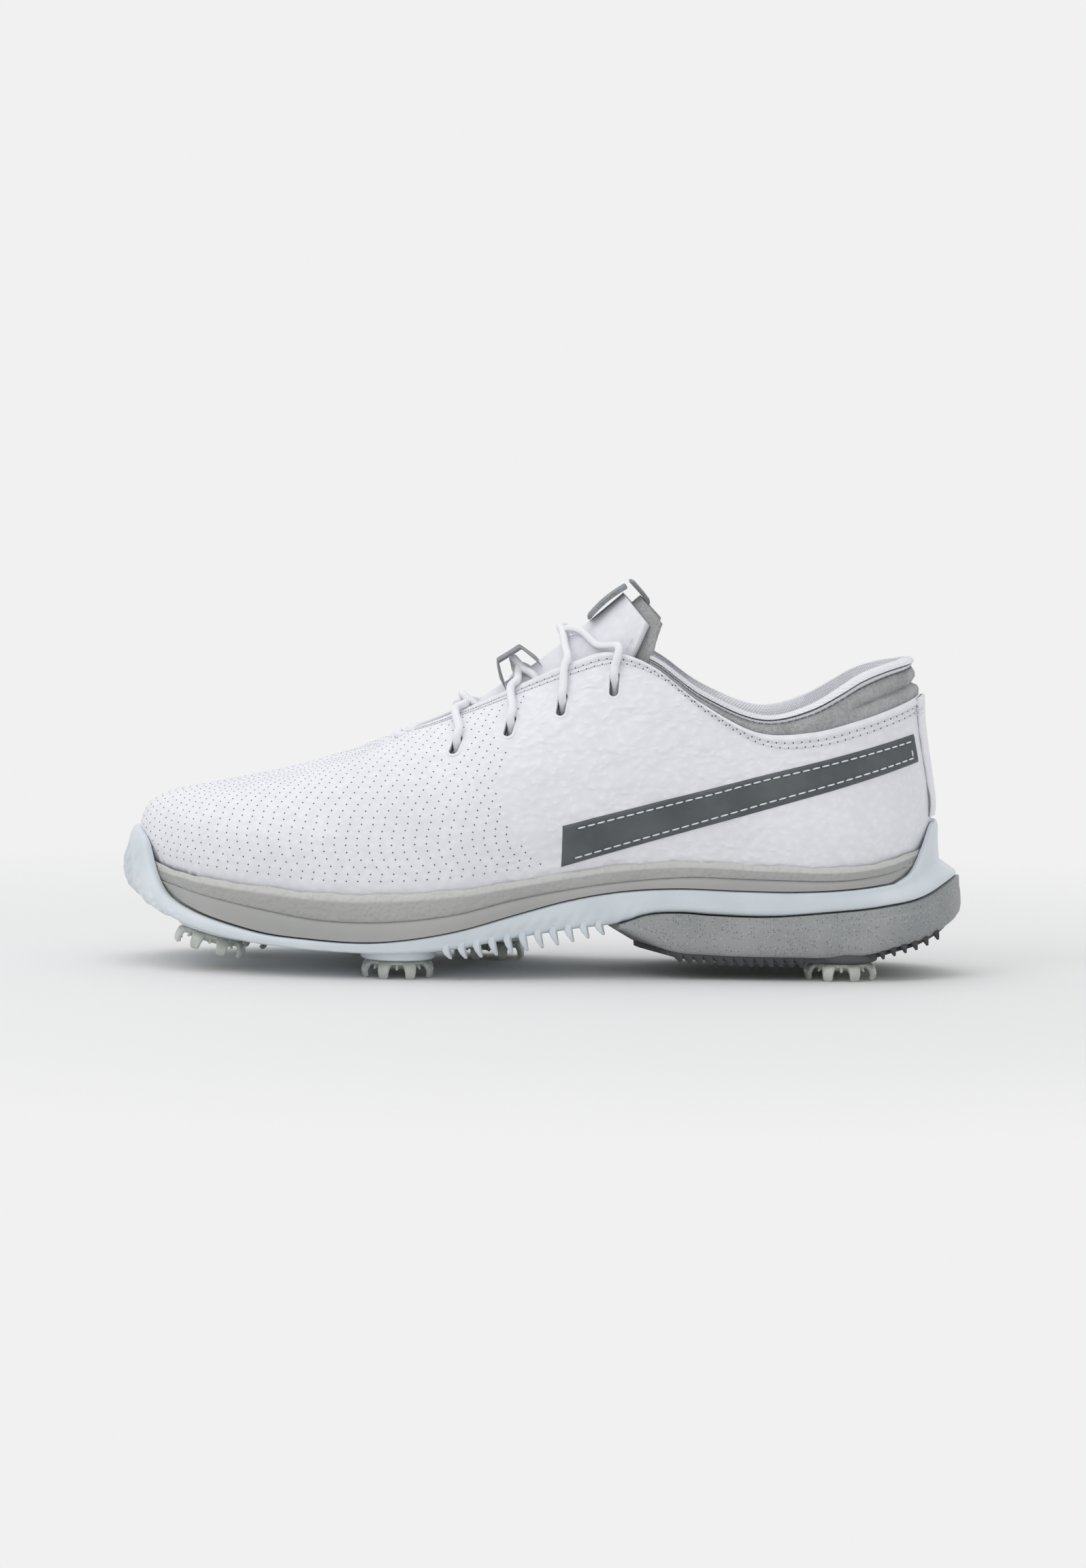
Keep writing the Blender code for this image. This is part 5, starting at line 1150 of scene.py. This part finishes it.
def build_plate():
    t, side = loop_stations(260)
    low, high = plate_bottom(t), plate_top(t)

    def at(toe, flank, heel):
        share = flank + (toe - flank) * (1 - smooth_step(0.02, 0.2, t))
        share = share + (heel - flank) * smooth_step(0.84, 0.97, t)
        return low + share * (high - low), share

    rows = []
    out = sole_out(t, side)
    for x_toe, x_heel, inset, shares in PLATE_WALL:
        z, share = at(*shares)
        ring = ring_rows(x_toe, x_heel, inset, z, t, side)
        rows.append(ring + out * plate_relief(t, share)[:, None])
    wall = []
    for a, b in zip(rows, rows[1:]):
        wall += [a, (a + b) / 2]
    wall.append(rows[-1])
    shelf = [(-147.4, 141.8, 1.3, high + 0.1), (-146.4, 141, 2.4, high + 0.05),
             (-145.4, 140.1, 3.5, high - 0.4), (-145.2, 140.0, 4.0, low + 2.7)]
    shelf += [(-145.2 + inset, 140 - inset, inset, low + 2.7) for inset in (20, 34, 44)]
    for inset in (44, 38, 32, 26, 20, 14, 9):
        x, _ = plan(t, side, -143 + inset, 147 - inset, inset)
        ridge = 0.5 * np.sin(x * 2 * math.pi / 11) * (1 - smooth_step(-20, 20, x))
        shelf.append((-143 + inset, 147 - inset, inset, low + ridge))
    sections = np.concatenate([np.stack(wall, axis=1), ring_stack(shelf, t, side)], axis=1)
    item = loft("plate_shell", sections, PLATE, wrap=True, slot="plate")
    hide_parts("outsole_plate")
    fins, bosses = [], []
    for s in (-1, 1):
        for k in range(11):
            x = -34 + 5.4 * k
            if s < 0 or x >= -2:
                fins.append(fin_parts(x, s, 2.2 + 2.6 * math.sin(math.pi * (k + 1) / 12)))
    merged("plate_fins", fins, PLATE, slot="plate")
    for name in SPIKES:
        if not name.startswith("heel"):
            x, _, z, _ = SPIKES[name]
            height = max(4.2, float(plate_bottom(station(x))) + 0.3 - z) + 1
            bosses.append(disc_parts(name, BOSS_FACE + [(14.2, height)]))
    merged("plate_bosses", bosses, PLATE, slot="plate")


def fin_parts(x, side, drop):
    """Raked fin under the edge of the plate at the arch, with a rounded tip."""
    t = np.array([station(x)])
    low = float(plate_bottom(t)[0])
    spine, halves = [], []
    for inset, rise, share, rake in FIN_ROWS:
        px, py = plan(t, side, -LENGTH / 2, LENGTH / 2, inset)
        spine.append((float(px[0]) + 2.0 * rake, float(py[0]), low + rise + drop * share))
        halves.append(1.25 - 0.72 * rake)
    spine, halves = np.array(spine), np.array(halves)
    inward = unit(spine.mean(0) - spine)
    inward[:, 0] = 0
    sections = []
    for bulge in (-1.0, -0.8, -0.3, 0.3, 0.8, 1.0):
        row = spine + inward * (0.5 if abs(bulge) == 1 else 0.0)
        row[:, 0] += halves * bulge
        sections.append(row)
    return loft_parts(np.array(sections))


def spike_matrix(name, scale=1.0):
    x, y, z, tilt = SPIKES[name]
    place = Matrix.Translation((x * scale, y * scale, z * scale))
    return place @ Matrix.Rotation(math.radians(tilt), 4, "Y")


def turned_rings(profile, sides):
    """Rings about the Z axis from (radius, height) pairs."""
    turn = np.arange(sides) * 2 * math.pi / sides
    return np.array([np.stack([r * np.cos(turn), r * np.sin(turn), np.full(sides, z)], axis=1)
                     for r, z in profile])


def disc_parts(name, profile, sides=48):
    """Turned part on a spike's axis from (radius, height over the boss face) pairs."""
    m = np.array(spike_matrix(name))
    return loft_parts(turned_rings(profile, sides) @ m[:3, :3].T + m[:3, 3], cap=False)


def build_heel():
    t, side = open_loop(station(28), 1, 150)
    low, high = WEDGE_LOW(along(t, WEDGE_TOE, WEDGE_HEEL)), plate_bottom(t) - 0.3
    x = along(t, -LENGTH / 2, LENGTH / 2)
    shelf = smooth_step(66, 100, x)
    scallop = 1.6 * smooth_step(132, 150, x) * np.sin(np.clip((x - 132) / 19, 0, 1) * math.pi)
    rows = []
    for x_heel, inset, share in WEDGE_WALL:
        dent = 0.5 * scallop * math.exp(-((share - 0.5) / 0.25) ** 2)
        rows.append((WEDGE_TOE, x_heel, inset + dent, low + share * (high - low)))
    for step_in, share in ((0.0, 0.76), (0.25, 0.785), (1.0, 0.8), (1.25, 0.83), (1.3, 0.9), (1.7, 1.0)):
        rows.append((WEDGE_TOE, 151.1 - share, 0.1 + step_in * shelf, low + share * (high - low)))
    rows += [(WEDGE_TOE, 140, 12, high), (WEDGE_TOE, 135, 14, low + 0.5)]
    item = loft("heel_wedge_foam", ring_stack(rows, t, side), WEDGE, slot="wedge")
    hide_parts("heel_wedge")
    cover = ring_stack([(WEDGE_TOE, WEDGE_HEEL - k, 3 + k, low) for k in (0, 8, 18, 28, 38)], t, side)
    under = cover + np.array((0, 0, 1.2))
    loft("heel_wedge_base", np.concatenate([cover, under[:, ::-1]], axis=1), WEDGE, slot="wedge")
    build_tread()


def build_tread():
    """Rubber tread: a thin sheet with raked teeth along both edges and round bosses at the spikes."""
    t, side = open_loop(station(46), 1, 120)
    low = WEDGE_LOW(along(t, WEDGE_TOE, WEDGE_HEEL)) - 0.3
    rows = [(WEDGE_TOE, WEDGE_HEEL, 3.3, low + 0.2), (WEDGE_TOE, WEDGE_HEEL, 3.0, low - 0.5)]
    rows += [(WEDGE_TOE, WEDGE_HEEL - k, 3.6 + k, low - 1.5) for k in (0, 8, 18, 28, 37)]
    rows += [(WEDGE_TOE, WEDGE_HEEL - k, 3.6 + k, low) for k in (37, 18)]
    parts = [loft_parts(ring_stack(rows, t, side))]
    for s in (-1, 1):
        for k in range(15):
            x = 48 + 3.6 * k
            if x < 94:
                parts.append(tooth_parts(x, s, 3.4, 2.2))
        for k in range(6):
            parts.append(tooth_parts(121 + 4.0 * k, s, 2.6, 1.4))
    sheet = merged("heel_tread_rubber", parts, TREAD, slot="tread")
    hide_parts("heel_tread")
    bosses = [disc_parts(name, HEEL_BOSS) for name in ("heel_lateral", "heel_medial")]
    merged("heel_tread_bosses", bosses, BOSS, slot="tread")


def tooth_parts(x, side, tall, wide):
    """Raked saw tooth on the edge of the tread."""
    t = np.array([station(min(x, 144))])
    low = float(WEDGE_LOW(min(x, 144)))
    sections = []
    for inset, reach in ((2.4, 0.55), (3.2, 0.95), (5.5, 1.0), (8.5, 0.85), (10.5, 0.3)):
        px, py = plan(t, side, -LENGTH / 2, LENGTH / 2, inset)
        px, py = float(px[0]), float(py[0])
        drop = min(tall * reach, low - 4.6)
        outline = ((-1, 0.5), (-0.2, 0.5), (1, 0.4), (1.05, -drop), (0.55, -drop - 0.2), (-0.4, -drop * 0.45))
        sections.append([(px + wide * ahead, py, low + rise) for ahead, rise in outline])
    return loft_parts(np.array(sections))


# ------------------------------------------------------------------ spikes
HUB = [(0.5, 3.1), (3.9, 3.1), (4.2, 2.7), (4.2, -0.3), (10.6, -0.3), (11.2, -0.6), (11.4, -1.3),
       (10.4, -2.0), (8.2, -3.0), (6.4, -3.4), (5.8, -3.0), (5.4, -2.7), (3.0, -2.6), (0.5, -2.6)]
LEG = [(6.0, -2.0, 2.1, 0.9), (8.6, -1.5, 2.4, 1.1), (10.8, -1.3, 2.45, 1.0), (12.0, -2.4, 2.3, 0.95),
       (12.55, -4.0, 2.0, 0.95), (12.4, -5.4, 1.75, 0.9), (11.9, -6.1, 1.45, 0.75)]
LEGS = 8
KEY_PINS = 3


def build_spikes():
    parts = [loft_parts(turned_rings(HUB, 64))]
    for k in range(LEGS):
        parts += [leg_parts(2 * math.pi * (k + 0.5) / LEGS), web_parts(2 * math.pi * k / LEGS)]
    for k in range(KEY_PINS):
        a = 2 * math.pi * k / KEY_PINS + 0.4
        parts.append(tube_parts([(3.9 * math.cos(a), 3.9 * math.sin(a), z) for z in (-2.2, -2.9, -3.6, -3.8)],
                                [0.85, 0.85, 0.8, 0.4], 12))
    for name in SPIKES:
        item = merged("spike_" + name + "_moulding", parts, SPIKE, slot="spike")
        item.data.transform(spike_matrix(name, MM))
        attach(item, "spike_" + name + "_body")
        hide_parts("spike_" + name)


def leg_parts(angle):
    """Leg that spreads from the hub to a rounded foot on the floor."""
    spine = np.array([(r, 0, z) for r, z, _, _ in LEG])
    ahead = unit(np.gradient(spine, axis=0))
    out = np.stack([-ahead[:, 2], np.zeros(len(LEG)), ahead[:, 0]], axis=1)
    turn = np.arange(12) * 2 * math.pi / 12
    c, s = np.cos(turn), np.sin(turn)
    square = np.stack([np.sign(c) * np.abs(c) ** 0.6, np.sign(s) * np.abs(s) ** 0.6], axis=1)
    sections = np.array([point + square[:, :1] * half * np.array((0, 1.0, 0)) + square[:, 1:] * thick * o
                         for (_, _, half, thick), point, o in zip(LEG, spine, out)])
    c, s = math.cos(angle), math.sin(angle)
    spin = np.array(((c, -s, 0), (s, c, 0), (0, 0, 1)))
    return loft_parts(sections @ spin.T)


def web_parts(angle):
    """Thin rib between two legs."""
    rows = [(5.5, -2.6), (8.5, -2.4), (10.9, -2.2), (11.4, -3.2)]
    c, s = math.cos(angle), math.sin(angle)
    return tube_parts([(r * c, r * s, z) for r, z in rows], [0.7, 0.75, 0.7, 0.4], 8)


# ------------------------------------------------------------------ tongue, keeper and tab
TONGUE_X, TONGUE_Z, TONGUE_HALF, TONGUE_DROP = [Curve(TONGUE, c) for c in (1, 2, 3, 4)]


def tongue_frame(s):
    e = 0.02
    d = np.array([TONGUE_X(min(s + e, 1)) - TONGUE_X(max(s - e, 0)), 0.0,
                  TONGUE_Z(min(s + e, 1)) - TONGUE_Z(max(s - e, 0))])
    d /= np.linalg.norm(d)
    return np.array((float(TONGUE_X(s)), 0.0, float(TONGUE_Z(s)))), d, np.array((-d[2], 0.0, d[0]))


def tongue_point(s, q, depth=0.0, wide=1.0):
    """Point of the tongue at share s along and q (-1 to 1) across, depth below its outer face."""
    centre, _, n = tongue_frame(s)
    half, drop = float(TONGUE_HALF(s)), float(TONGUE_DROP(s))
    y = half * wide * q
    line = 2.0 * (1 - float(smooth_step(0, 0.8, s)))
    slope = 2 * drop * y / half ** 2
    tilt = math.hypot(1, slope)
    fall = drop * (y / half) ** 2
    inwards = n / tilt + np.array((0, slope / tilt, 0))
    return centre + np.array((0, y + line, 0)) - n * fall - inwards * depth


def build_tongue():
    spots = np.linspace(0, 0.965, 64)
    across = np.linspace(-1, 1, 41)
    sections = []
    for s in spots:
        pillow = 0.15 * math.sin(math.pi * s * 3) ** 2
        outer = []
        for q in across:
            edge = 1 - abs(q)
            sunk = 0.55 - 0.55 * float(smooth_step(0.0, 0.22, edge))
            outer.append(tongue_point(s, q, sunk - pillow * float(smooth_step(0.05, 0.3, edge)), 0.8))
        curl = [tongue_point(s, 1.0, d, 0.8 + w) for d, w in ((1.2, 0.012), (2.6, 0.014), (4.0, 0.004))]
        inner = [tongue_point(s, q, 4.3 if abs(q) < 0.9 else 4.2, 0.76) for q in across[::-1]]
        other = [tongue_point(s, -1.0, d, 0.8 + w) for d, w in ((4.0, 0.004), (2.6, 0.014), (1.2, 0.012))]
        sections.append(outer + curl + inner + other)
    sections = np.array(sections)
    face = loft("tongue_leather_padded", sections, WHITE_PLAIN, slot="leather")
    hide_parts("tongue_leather", "tongue_foam")
    backs = []
    for s in np.linspace(0, 1.0, 64):
        border = 0.35 + 0.65 * float(smooth_step(0.25, 0.6, s))
        top = [tongue_point(s, q, 4.6 - 1.0 * border * float(smooth_step(0.86, 0.95, abs(q))), 0.925)
               for q in across]
        rim = [tongue_point(s, 1.0, d, 0.94) for d in (3.6, 5.0)]
        low = [tongue_point(s, q, 6.2, 0.92) for q in across[::-1]]
        left = [tongue_point(s, -1.0, d, 0.94) for d in (5.0, 3.6)]
        backs.append(top + rim + low + left)
    backs = np.array(backs)
    lengthways, across_it = (np.sin(np.arange(count) * turn) for count, turn in zip(backs.shape, (1.7, 2.3)))
    backs[..., 0] += 0.12 * lengthways[:, None] * across_it[None, :]
    lining = loft("tongue_lining_suede", backs, SUEDE, slot="suede")
    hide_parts("tongue_lining")
    threads = []
    for way in (1.0, -1.0):
        line = np.array([tongue_point(s, 0.93 * way, -0.1, 0.8) for s in np.linspace(0.45, 0.93, 60)])
        normals = np.tile(unit(np.array((-0.25, way, 0.3))), (len(line), 1))
        more, _ = sew(line, normals, 3.0, 2.2, 0.2)
        threads += more
    merged("tongue_edge_stitches", threads, THREAD, slot="leather")


def strap(name, sections, material, **more):
    """Strip of suede from (top row, bottom row) pairs, its long edges rounded."""
    made = []
    for top, low in sections:
        top, low = np.asarray(top, float), np.asarray(low, float)
        middle = (top + low) / 2
        ends = [middle[0] + (middle[0] - middle[1]) * 0.06, middle[-1] + (middle[-1] - middle[-2]) * 0.06]
        made.append(np.concatenate([top, [ends[1]], low[::-1], [ends[0]]]))
    return loft(name, np.array(made), material, **more)


KEEPER_RISE = 6.7
KEEPER_Y = np.linspace(-6.0, 6.0, 13)
TAB_HALF = 8.0


def over_tongue(s, y, lift):
    """Point of a strip that lies level across the tongue, lift above its middle."""
    return tongue_point(s, 0.0, -lift) + np.array((0, y, 0))


def build_keeper():
    sections, linings = [], []
    for u in np.linspace(0, 1, 40):
        s = 0.475 + 0.125 * u
        arch = min(1.0, math.sin(math.pi * u) * 1.6)
        _, ahead, n = tongue_frame(s)
        half, drop = float(TONGUE_HALF(s)), float(TONGUE_DROP(s))

        def row(lift):
            level = [KEEPER_RISE + drop * (y / half) ** 2 for y in KEEPER_Y]
            lean = ahead * 2.2 * (0.5 - u) * arch
            return [tongue_point(s, y / half, -(0.8 + lift)) + n * rise * arch - lean
                    for y, rise in zip(KEEPER_Y, level)]
        sections.append((row(1.5), row(0.45)))
        linings.append((row(0.4), row(0.0)))
    strip = strap("lace_keeper_suede", sections, SUEDE_DARK, slot="suede")
    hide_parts("lace_keeper")
    strap("lace_keeper_lining", linings, MESH_LINING, slot="suede")


def build_tab():
    flap = []
    for u in np.linspace(0, 1, 44):
        s = 0.83 + (0.985 - 0.83) * u
        lift = 0.5 + 0.9 * math.sin(math.pi * u)
        end = 0.35 * float(1 - smooth_step(0, 0.05, u))
        rows = [[over_tongue(s, y, lift + d) for y in np.linspace(-TAB_HALF, TAB_HALF, 21)]
                for d in (1.5 - end, 0.05 + end)]
        flap.append(rows)
    item = strap("tongue_tab_flap_suede", flap, SUEDE_DARK, slot="suede", body="tab_flap_body")
    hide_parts("tongue_tab_flap")
    _, ahead, _ = tongue_frame(1.0)
    half = float(TONGUE_HALF(1.0))
    sections = []
    for y in np.linspace(-TAB_HALF, TAB_HALF, 25):
        q = y / half
        outer = [over_tongue(1.0, y, 2.0) + ahead * 0.3, over_tongue(1.0, y, 1.6) + ahead * 1.1,
                 over_tongue(1.0, y, 0.4) + ahead * 1.65, tongue_point(1.0, q, 3.4) + ahead * 1.75,
                 tongue_point(1.0, q, 6.8) + ahead * 1.6, tongue_point(1.0, q, 7.9) + ahead * 0.9,
                 tongue_point(0.985, q, 8.1), tongue_point(0.94, q, 8.3), tongue_point(0.9, q, 8.1)]
        inner = [tongue_point(0.9, q, 6.6), tongue_point(0.94, q, 6.7), tongue_point(0.985, q, 6.6),
                 tongue_point(1.0, q, 6.3) + ahead * 0.3, tongue_point(1.0, q, 3.4) + ahead * 0.5,
                 over_tongue(1.0, y, 0.35) + ahead * 0.35]
        sections.append(outer + inner)
    back = loft("tongue_tab_back_suede", np.array(sections), SUEDE_DARK, slot="suede")
    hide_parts("tongue_tab_back")


# ------------------------------------------------------------------ laces
OUT = LACE_D / 2 + 0.35
UNDER = LINING_BACK + OUT
CROSSING_DIP = (0.0, 1.5, 2.5, 8.0)
TAIL_PLAN = [(4, 21), (-14, 22), (-36, 24), (-58, 25), (-74, 22), (-80, 15), (-73, 9), (-58, 8), (-38, 10),
             (-22, 9)]


def edge_frame(x, side):
    """Point of the eyestay's edge at x, with the outward normal and upward direction there."""
    low, high = 0.2, 0.62
    for _ in range(24):
        t = (low + high) / 2
        low, high = (t, high) if float(EDGE[0](t)) < x else (low, t)
    return frame_at(t, 0.985, side)


def above_tongue(x, y, lift):
    best = None
    for k in range(101):
        s = k / 100
        line = 2.0 * (1 - float(smooth_step(0, 0.8, s)))
        q = max(-1, min(1, (y - line) / float(TONGUE_HALF(s))))
        miss = abs(tongue_point(s, q)[0] - x)
        if best is None or miss < best[0]:
            best = (miss, s, q)
    return tongue_point(best[1], best[2], -lift)


def clear_of_tongue(point, lift):
    short = above_tongue(point[0], point[1], 0.0)[2] + lift / 0.75 - point[2]
    return point + np.array((0, 0, max(short, 0.0)))


def lace_run(k, side, stack, last=False):
    """Points of the lace from slot k on one side to the next slot on the other side."""
    p, n, up = SLOT_FRAMES[side][k]
    q, m, rise = SLOT_FRAMES[-side][k + 1]
    if k == 0:
        edge, en, eu = edge_frame(p[0] + 8, side)
        points = [p - n * (UNDER + 0.8) + up * 2.5, edge - en * (UNDER + 0.8) - eu * 3.5]
    else:
        edge, en, eu = edge_frame(p[0] + 1.5, side)
        points = [p - n * (UNDER - 0.5) - up * 0.5, p - n * 1.6 + up * 0.9, p + n * (OUT - 0.1) + up * 3.0,
                  p + n * (OUT + 0.2) + up * 6.0, edge + en * (OUT + 0.6) - eu * 1.0,
                  edge + en * (OUT - 0.2) + eu * (OUT + 1.0)]
    far, fn, fu = edge_frame(q[0] - (7.5 if not last else -1.0), -side)
    start = points[-1]
    finish = far if last else far - fn * (UNDER + 1.0) - fu * 3.0
    lift = OUT + 0.8 + stack * (LACE_D + 0.35)
    middle = above_tongue((start[0] + far[0]) / 2 - CROSSING_DIP[k], (start[1] + far[1]) / 2, lift)
    for low, high, share in ((start, middle, 0.4), (start, middle, 0.72), (start, middle, 1.0),
                             (middle, finish, 0.28), (middle, finish, 0.6)):
        points.append(clear_of_tongue(low + (high - low) * share, OUT + 0.9))
    if last:
        points += [far + fn * (OUT - 0.2) + fu * (OUT + 1.0), far + fn * (OUT + 0.6) - fu * 1.0,
                   q + m * (OUT + 0.2) + rise * 6.0, q + m * (OUT - 0.1) + rise * 3.0,
                   q - m * 1.6 + rise * 0.9]
    else:
        points += [far - fn * (UNDER + 1.0) - fu * 3.0, q - m * (UNDER + 0.9) + rise * 3.0]
    return points


def insole_top(x):
    return float(FEATHER(x * 1.04)) + 0.5


LACE_ENDS = {}
for lace_side in (-1, 1):
    spot, outward, upward = SLOT_FRAMES[lace_side][4]
    LACE_ENDS[lace_side] = (spot - outward * (UNDER + 1.0) - upward * 5.5, -upward, outward)


def build_laces():
    parts = []
    for side, stacks in ((-1, (0, 1, 0, 0)), (1, (1, 0, 1, 1))):
        points, here = [], side
        for k in range(4):
            points += lace_run(k, here, stacks[k], last=k == 3)
            here = -here
        end, _, m = LACE_ENDS[here]
        parts.append(points + [end + m * 0.6 + np.array((0, 0, 4.0)), end])
    bar = []
    for side in (1, -1):
        p, n, up = SLOT_FRAMES[side][0]
        edge, en, eu = edge_frame(p[0] + 1.5, side)
        bar.append([p - n * 1.6 - up * 0.5, p + n * (OUT - 0.2) + up * 2.6, edge + en * OUT - eu * 0.5])
    middle = (bar[0][-1] + bar[1][-1]) / 2 + np.array((0, 0, 1.2))
    route = fine_path(parts[1][::-1] + bar[0] + [middle] + bar[1][::-1] + parts[0], 0.55)
    verts, faces, uvs = tube_parts(route, LACE_D / 2, 16)
    item = piece("lace_cord", verts, faces, LACE, uvs, slot="lace")
    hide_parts("lace")
    for side, word in ((-1, "lateral"), (1, "medial")):
        build_tail(side, word)


def build_tail(side, word):
    end, down, m = LACE_ENDS[side]
    x, y = end[0], end[1]
    points = [end + down * 1.0, end + down * 6 - m * 0.4]
    for share, out in ((0.3, 1.0), (0.6, 2.0), (0.85, 1.0)):
        points.append(np.array((x - 2 - 8 * share, y + side * out,
                                points[0][2] * (1 - share) + (insole_top(x) + OUT) * share)))
    points += [np.array((dx, side * across + 2, insole_top(dx) + OUT + 0.7)) for dx, across in TAIL_PLAN]
    route = fine_path(points, 1.0)
    verts, faces, uvs = tube_parts(route, LACE_D / 2, 12)
    tail = piece("lace_tail_" + word + "_cord", verts, faces, LACE, uvs, slot="lace")
    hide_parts("lace_tail_" + word)
    ahead = unit(points[-1] - points[-2])
    start = points[-1] + ahead * 0.3
    tip = points[-1] + ahead * 22.3
    tip[2] = insole_top(tip[0]) + 2.0
    spine = start + np.linspace(0, 1, 24)[:, None] * (tip - start)
    width = 1.7 - 0.12 * np.cos(np.linspace(0, 14, 24)) ** 2
    width[[0, -1]] = 1.25
    verts, faces, uvs = tube_parts(spine, width, 16)
    aglet = piece("aglet_" + word + "_film", verts, faces, AGLET, uvs, slot="aglet")
    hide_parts("aglet_" + word)


def build_insole():
    """Padded insole with a slight cup, covered in twill."""
    t, side = loop_stations(90)
    z = FEATHER(along(t, -137.8, 132))
    bed = [ring_rows(-137.3, 131.4, 9.2, z - 3.8, t, side), ring_rows(-137.7, 131.9, 8.8, z - 1.5, t, side),
           ring_rows(-137.8, 132, 8.7, z + 0.3, t, side), ring_rows(-137.2, 131.4, 9.3, z + 0.75, t, side),
           ring_rows(-136, 130, 10.6, z + 0.6, t, side)]
    bed += [ring_rows(-136 + k, 130 - k, 10.6 + k, z + 0.45 - 0.35 * math.sin(k / 34 * math.pi), t, side)
            for k in (4, 10, 18, 26, 34)]
    sections = np.stack(bed, axis=1)
    verts, faces, uvs = loft_parts(sections, ring=False, wrap=True)
    uvs = verts[:, :2].copy()
    faces.append(tuple(range(len(bed) - 1, len(verts), len(bed))))
    faces.append(tuple(range(0, len(verts), len(bed)))[::-1])
    item = piece("insole_padded", verts, faces, MESH_LINING, uvs, slot="twill")
    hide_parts("insole")


# ------------------------------------------------------------------ put together
def finish_cad_nodes():
    """Materials for the hidden CAD pieces that keep their own shapes."""
    finishes = {"socket_": SOCKET, "strobel_board": BOARD, "toe_puff": BOARD, "heel_counter": BOARD,
                "eyestay_tape_": TAPE, "cushion_unit_": CUSHION}
    for start, finish in finishes.items():
        for item in bpy.data.objects:
            if item.type == "MESH" and item.name.startswith(start):
                item.data.materials.clear()
                item.data.materials.append(finish)


def build_studio():
    world = bpy.data.worlds.new("studio_white")
    world.use_nodes = True
    back = world.node_tree.nodes["Background"]
    back.inputs["Color"].default_value = (0.78, 0.785, 0.79, 1)
    tree = world.node_tree
    seen = tree.nodes.new("ShaderNodeBackground")
    seen.inputs["Color"].default_value = (0.879, 0.879, 0.879, 1)
    path = tree.nodes.new("ShaderNodeLightPath")
    choice = tree.nodes.new("ShaderNodeMixShader")
    tree.links.new(path.outputs["Is Camera Ray"], choice.inputs[0])
    tree.links.new(back.outputs[0], choice.inputs[1])
    tree.links.new(seen.outputs[0], choice.inputs[2])
    tree.links.new(choice.outputs[0], tree.nodes["World Output"].inputs["Surface"])
    bpy.context.scene.world = world
    mesh = bpy.data.meshes.new("studio_floor")
    shape = bmesh.new()
    bmesh.ops.create_circle(shape, cap_ends=True, radius=1.6, segments=96)
    shape.to_mesh(mesh)
    shape.free()
    floor = bpy.data.objects.new("studio_floor", mesh)
    floor.location = (0, 0, -0.0002)
    bpy.context.scene.collection.objects.link(floor)
    f = Finish("studio_floor_white", (0.79, 0.79, 0.79, 1), 0.8, Specular_IOR_Level=0.05)
    away = f.node("ShaderNodeVectorMath", 1, {"operation": "LENGTH"}, _0=f.object)
    fade = f.span(away, 0.2, 0.5, 1.0, 0.0)
    f.tree.links.new(fade, f.shader.inputs["Alpha"])
    floor.data.materials.append(f.material)
    lights = [("studio_key", (-0.75, -0.7, 1.1), 0.8, 2.8), ("studio_top", (-0.1, 0.15, 1.6), 1.2, 4.4),
              ("studio_back", (0.3, 1.1, 1.0), 1.0, 1.0)]
    for name, place, size, power in lights:
        data = bpy.data.lights.new(name, "AREA")
        data.shape = "DISK"
        data.size = size
        data.energy = power
        lamp = bpy.data.objects.new(name, data)
        lamp.location = place
        lamp.rotation_euler = (Vector((0, 0, 0.05)) - Vector(place)).to_track_quat("-Z", "Y").to_euler()
        bpy.context.scene.collection.objects.link(lamp)
    bpy.context.scene.view_settings.view_transform = "Standard"


def build_camera():
    tilt, roll, distance, frame_width = math.radians(4.95), math.radians(0.9), 2.5, 0.566
    lift = Vector((0, math.sin(tilt), math.cos(tilt)))
    ahead = Vector((0, math.cos(tilt), -math.sin(tilt)))
    target = Vector((-0.0003, 0, 0)) + lift * 0.06565
    right = math.cos(roll) * Vector((1, 0, 0)) + math.sin(roll) * lift
    up = -math.sin(roll) * Vector((1, 0, 0)) + math.cos(roll) * lift
    data = bpy.data.cameras.new("photo_view")
    data.sensor_width = 36
    data.lens = data.sensor_width * distance / frame_width
    camera = bpy.data.objects.new("photo_view", data)
    place = Matrix((right, up, -ahead)).transposed().to_4x4()
    place.translation = target - ahead * distance
    camera.matrix_world = place
    bpy.context.scene.collection.objects.link(camera)
    bpy.context.scene.camera = camera


def build():
    shell = build_upper()
    lining = build_vamp_lining()
    cut_slots(shell, lining)
    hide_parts("upper_leather")
    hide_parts("vamp_lining")
    build_slot_rims()
    build_edge_stitching()
    build_perforations()
    build_bands()
    build_collar()
    build_heel_strip()
    build_midsole()
    build_plate()
    build_heel()
    build_spikes()
    build_tongue()
    build_keeper()
    build_tab()
    build_laces()
    build_insole()
    finish_cad_nodes()
    build_studio()
    build_camera()


build()
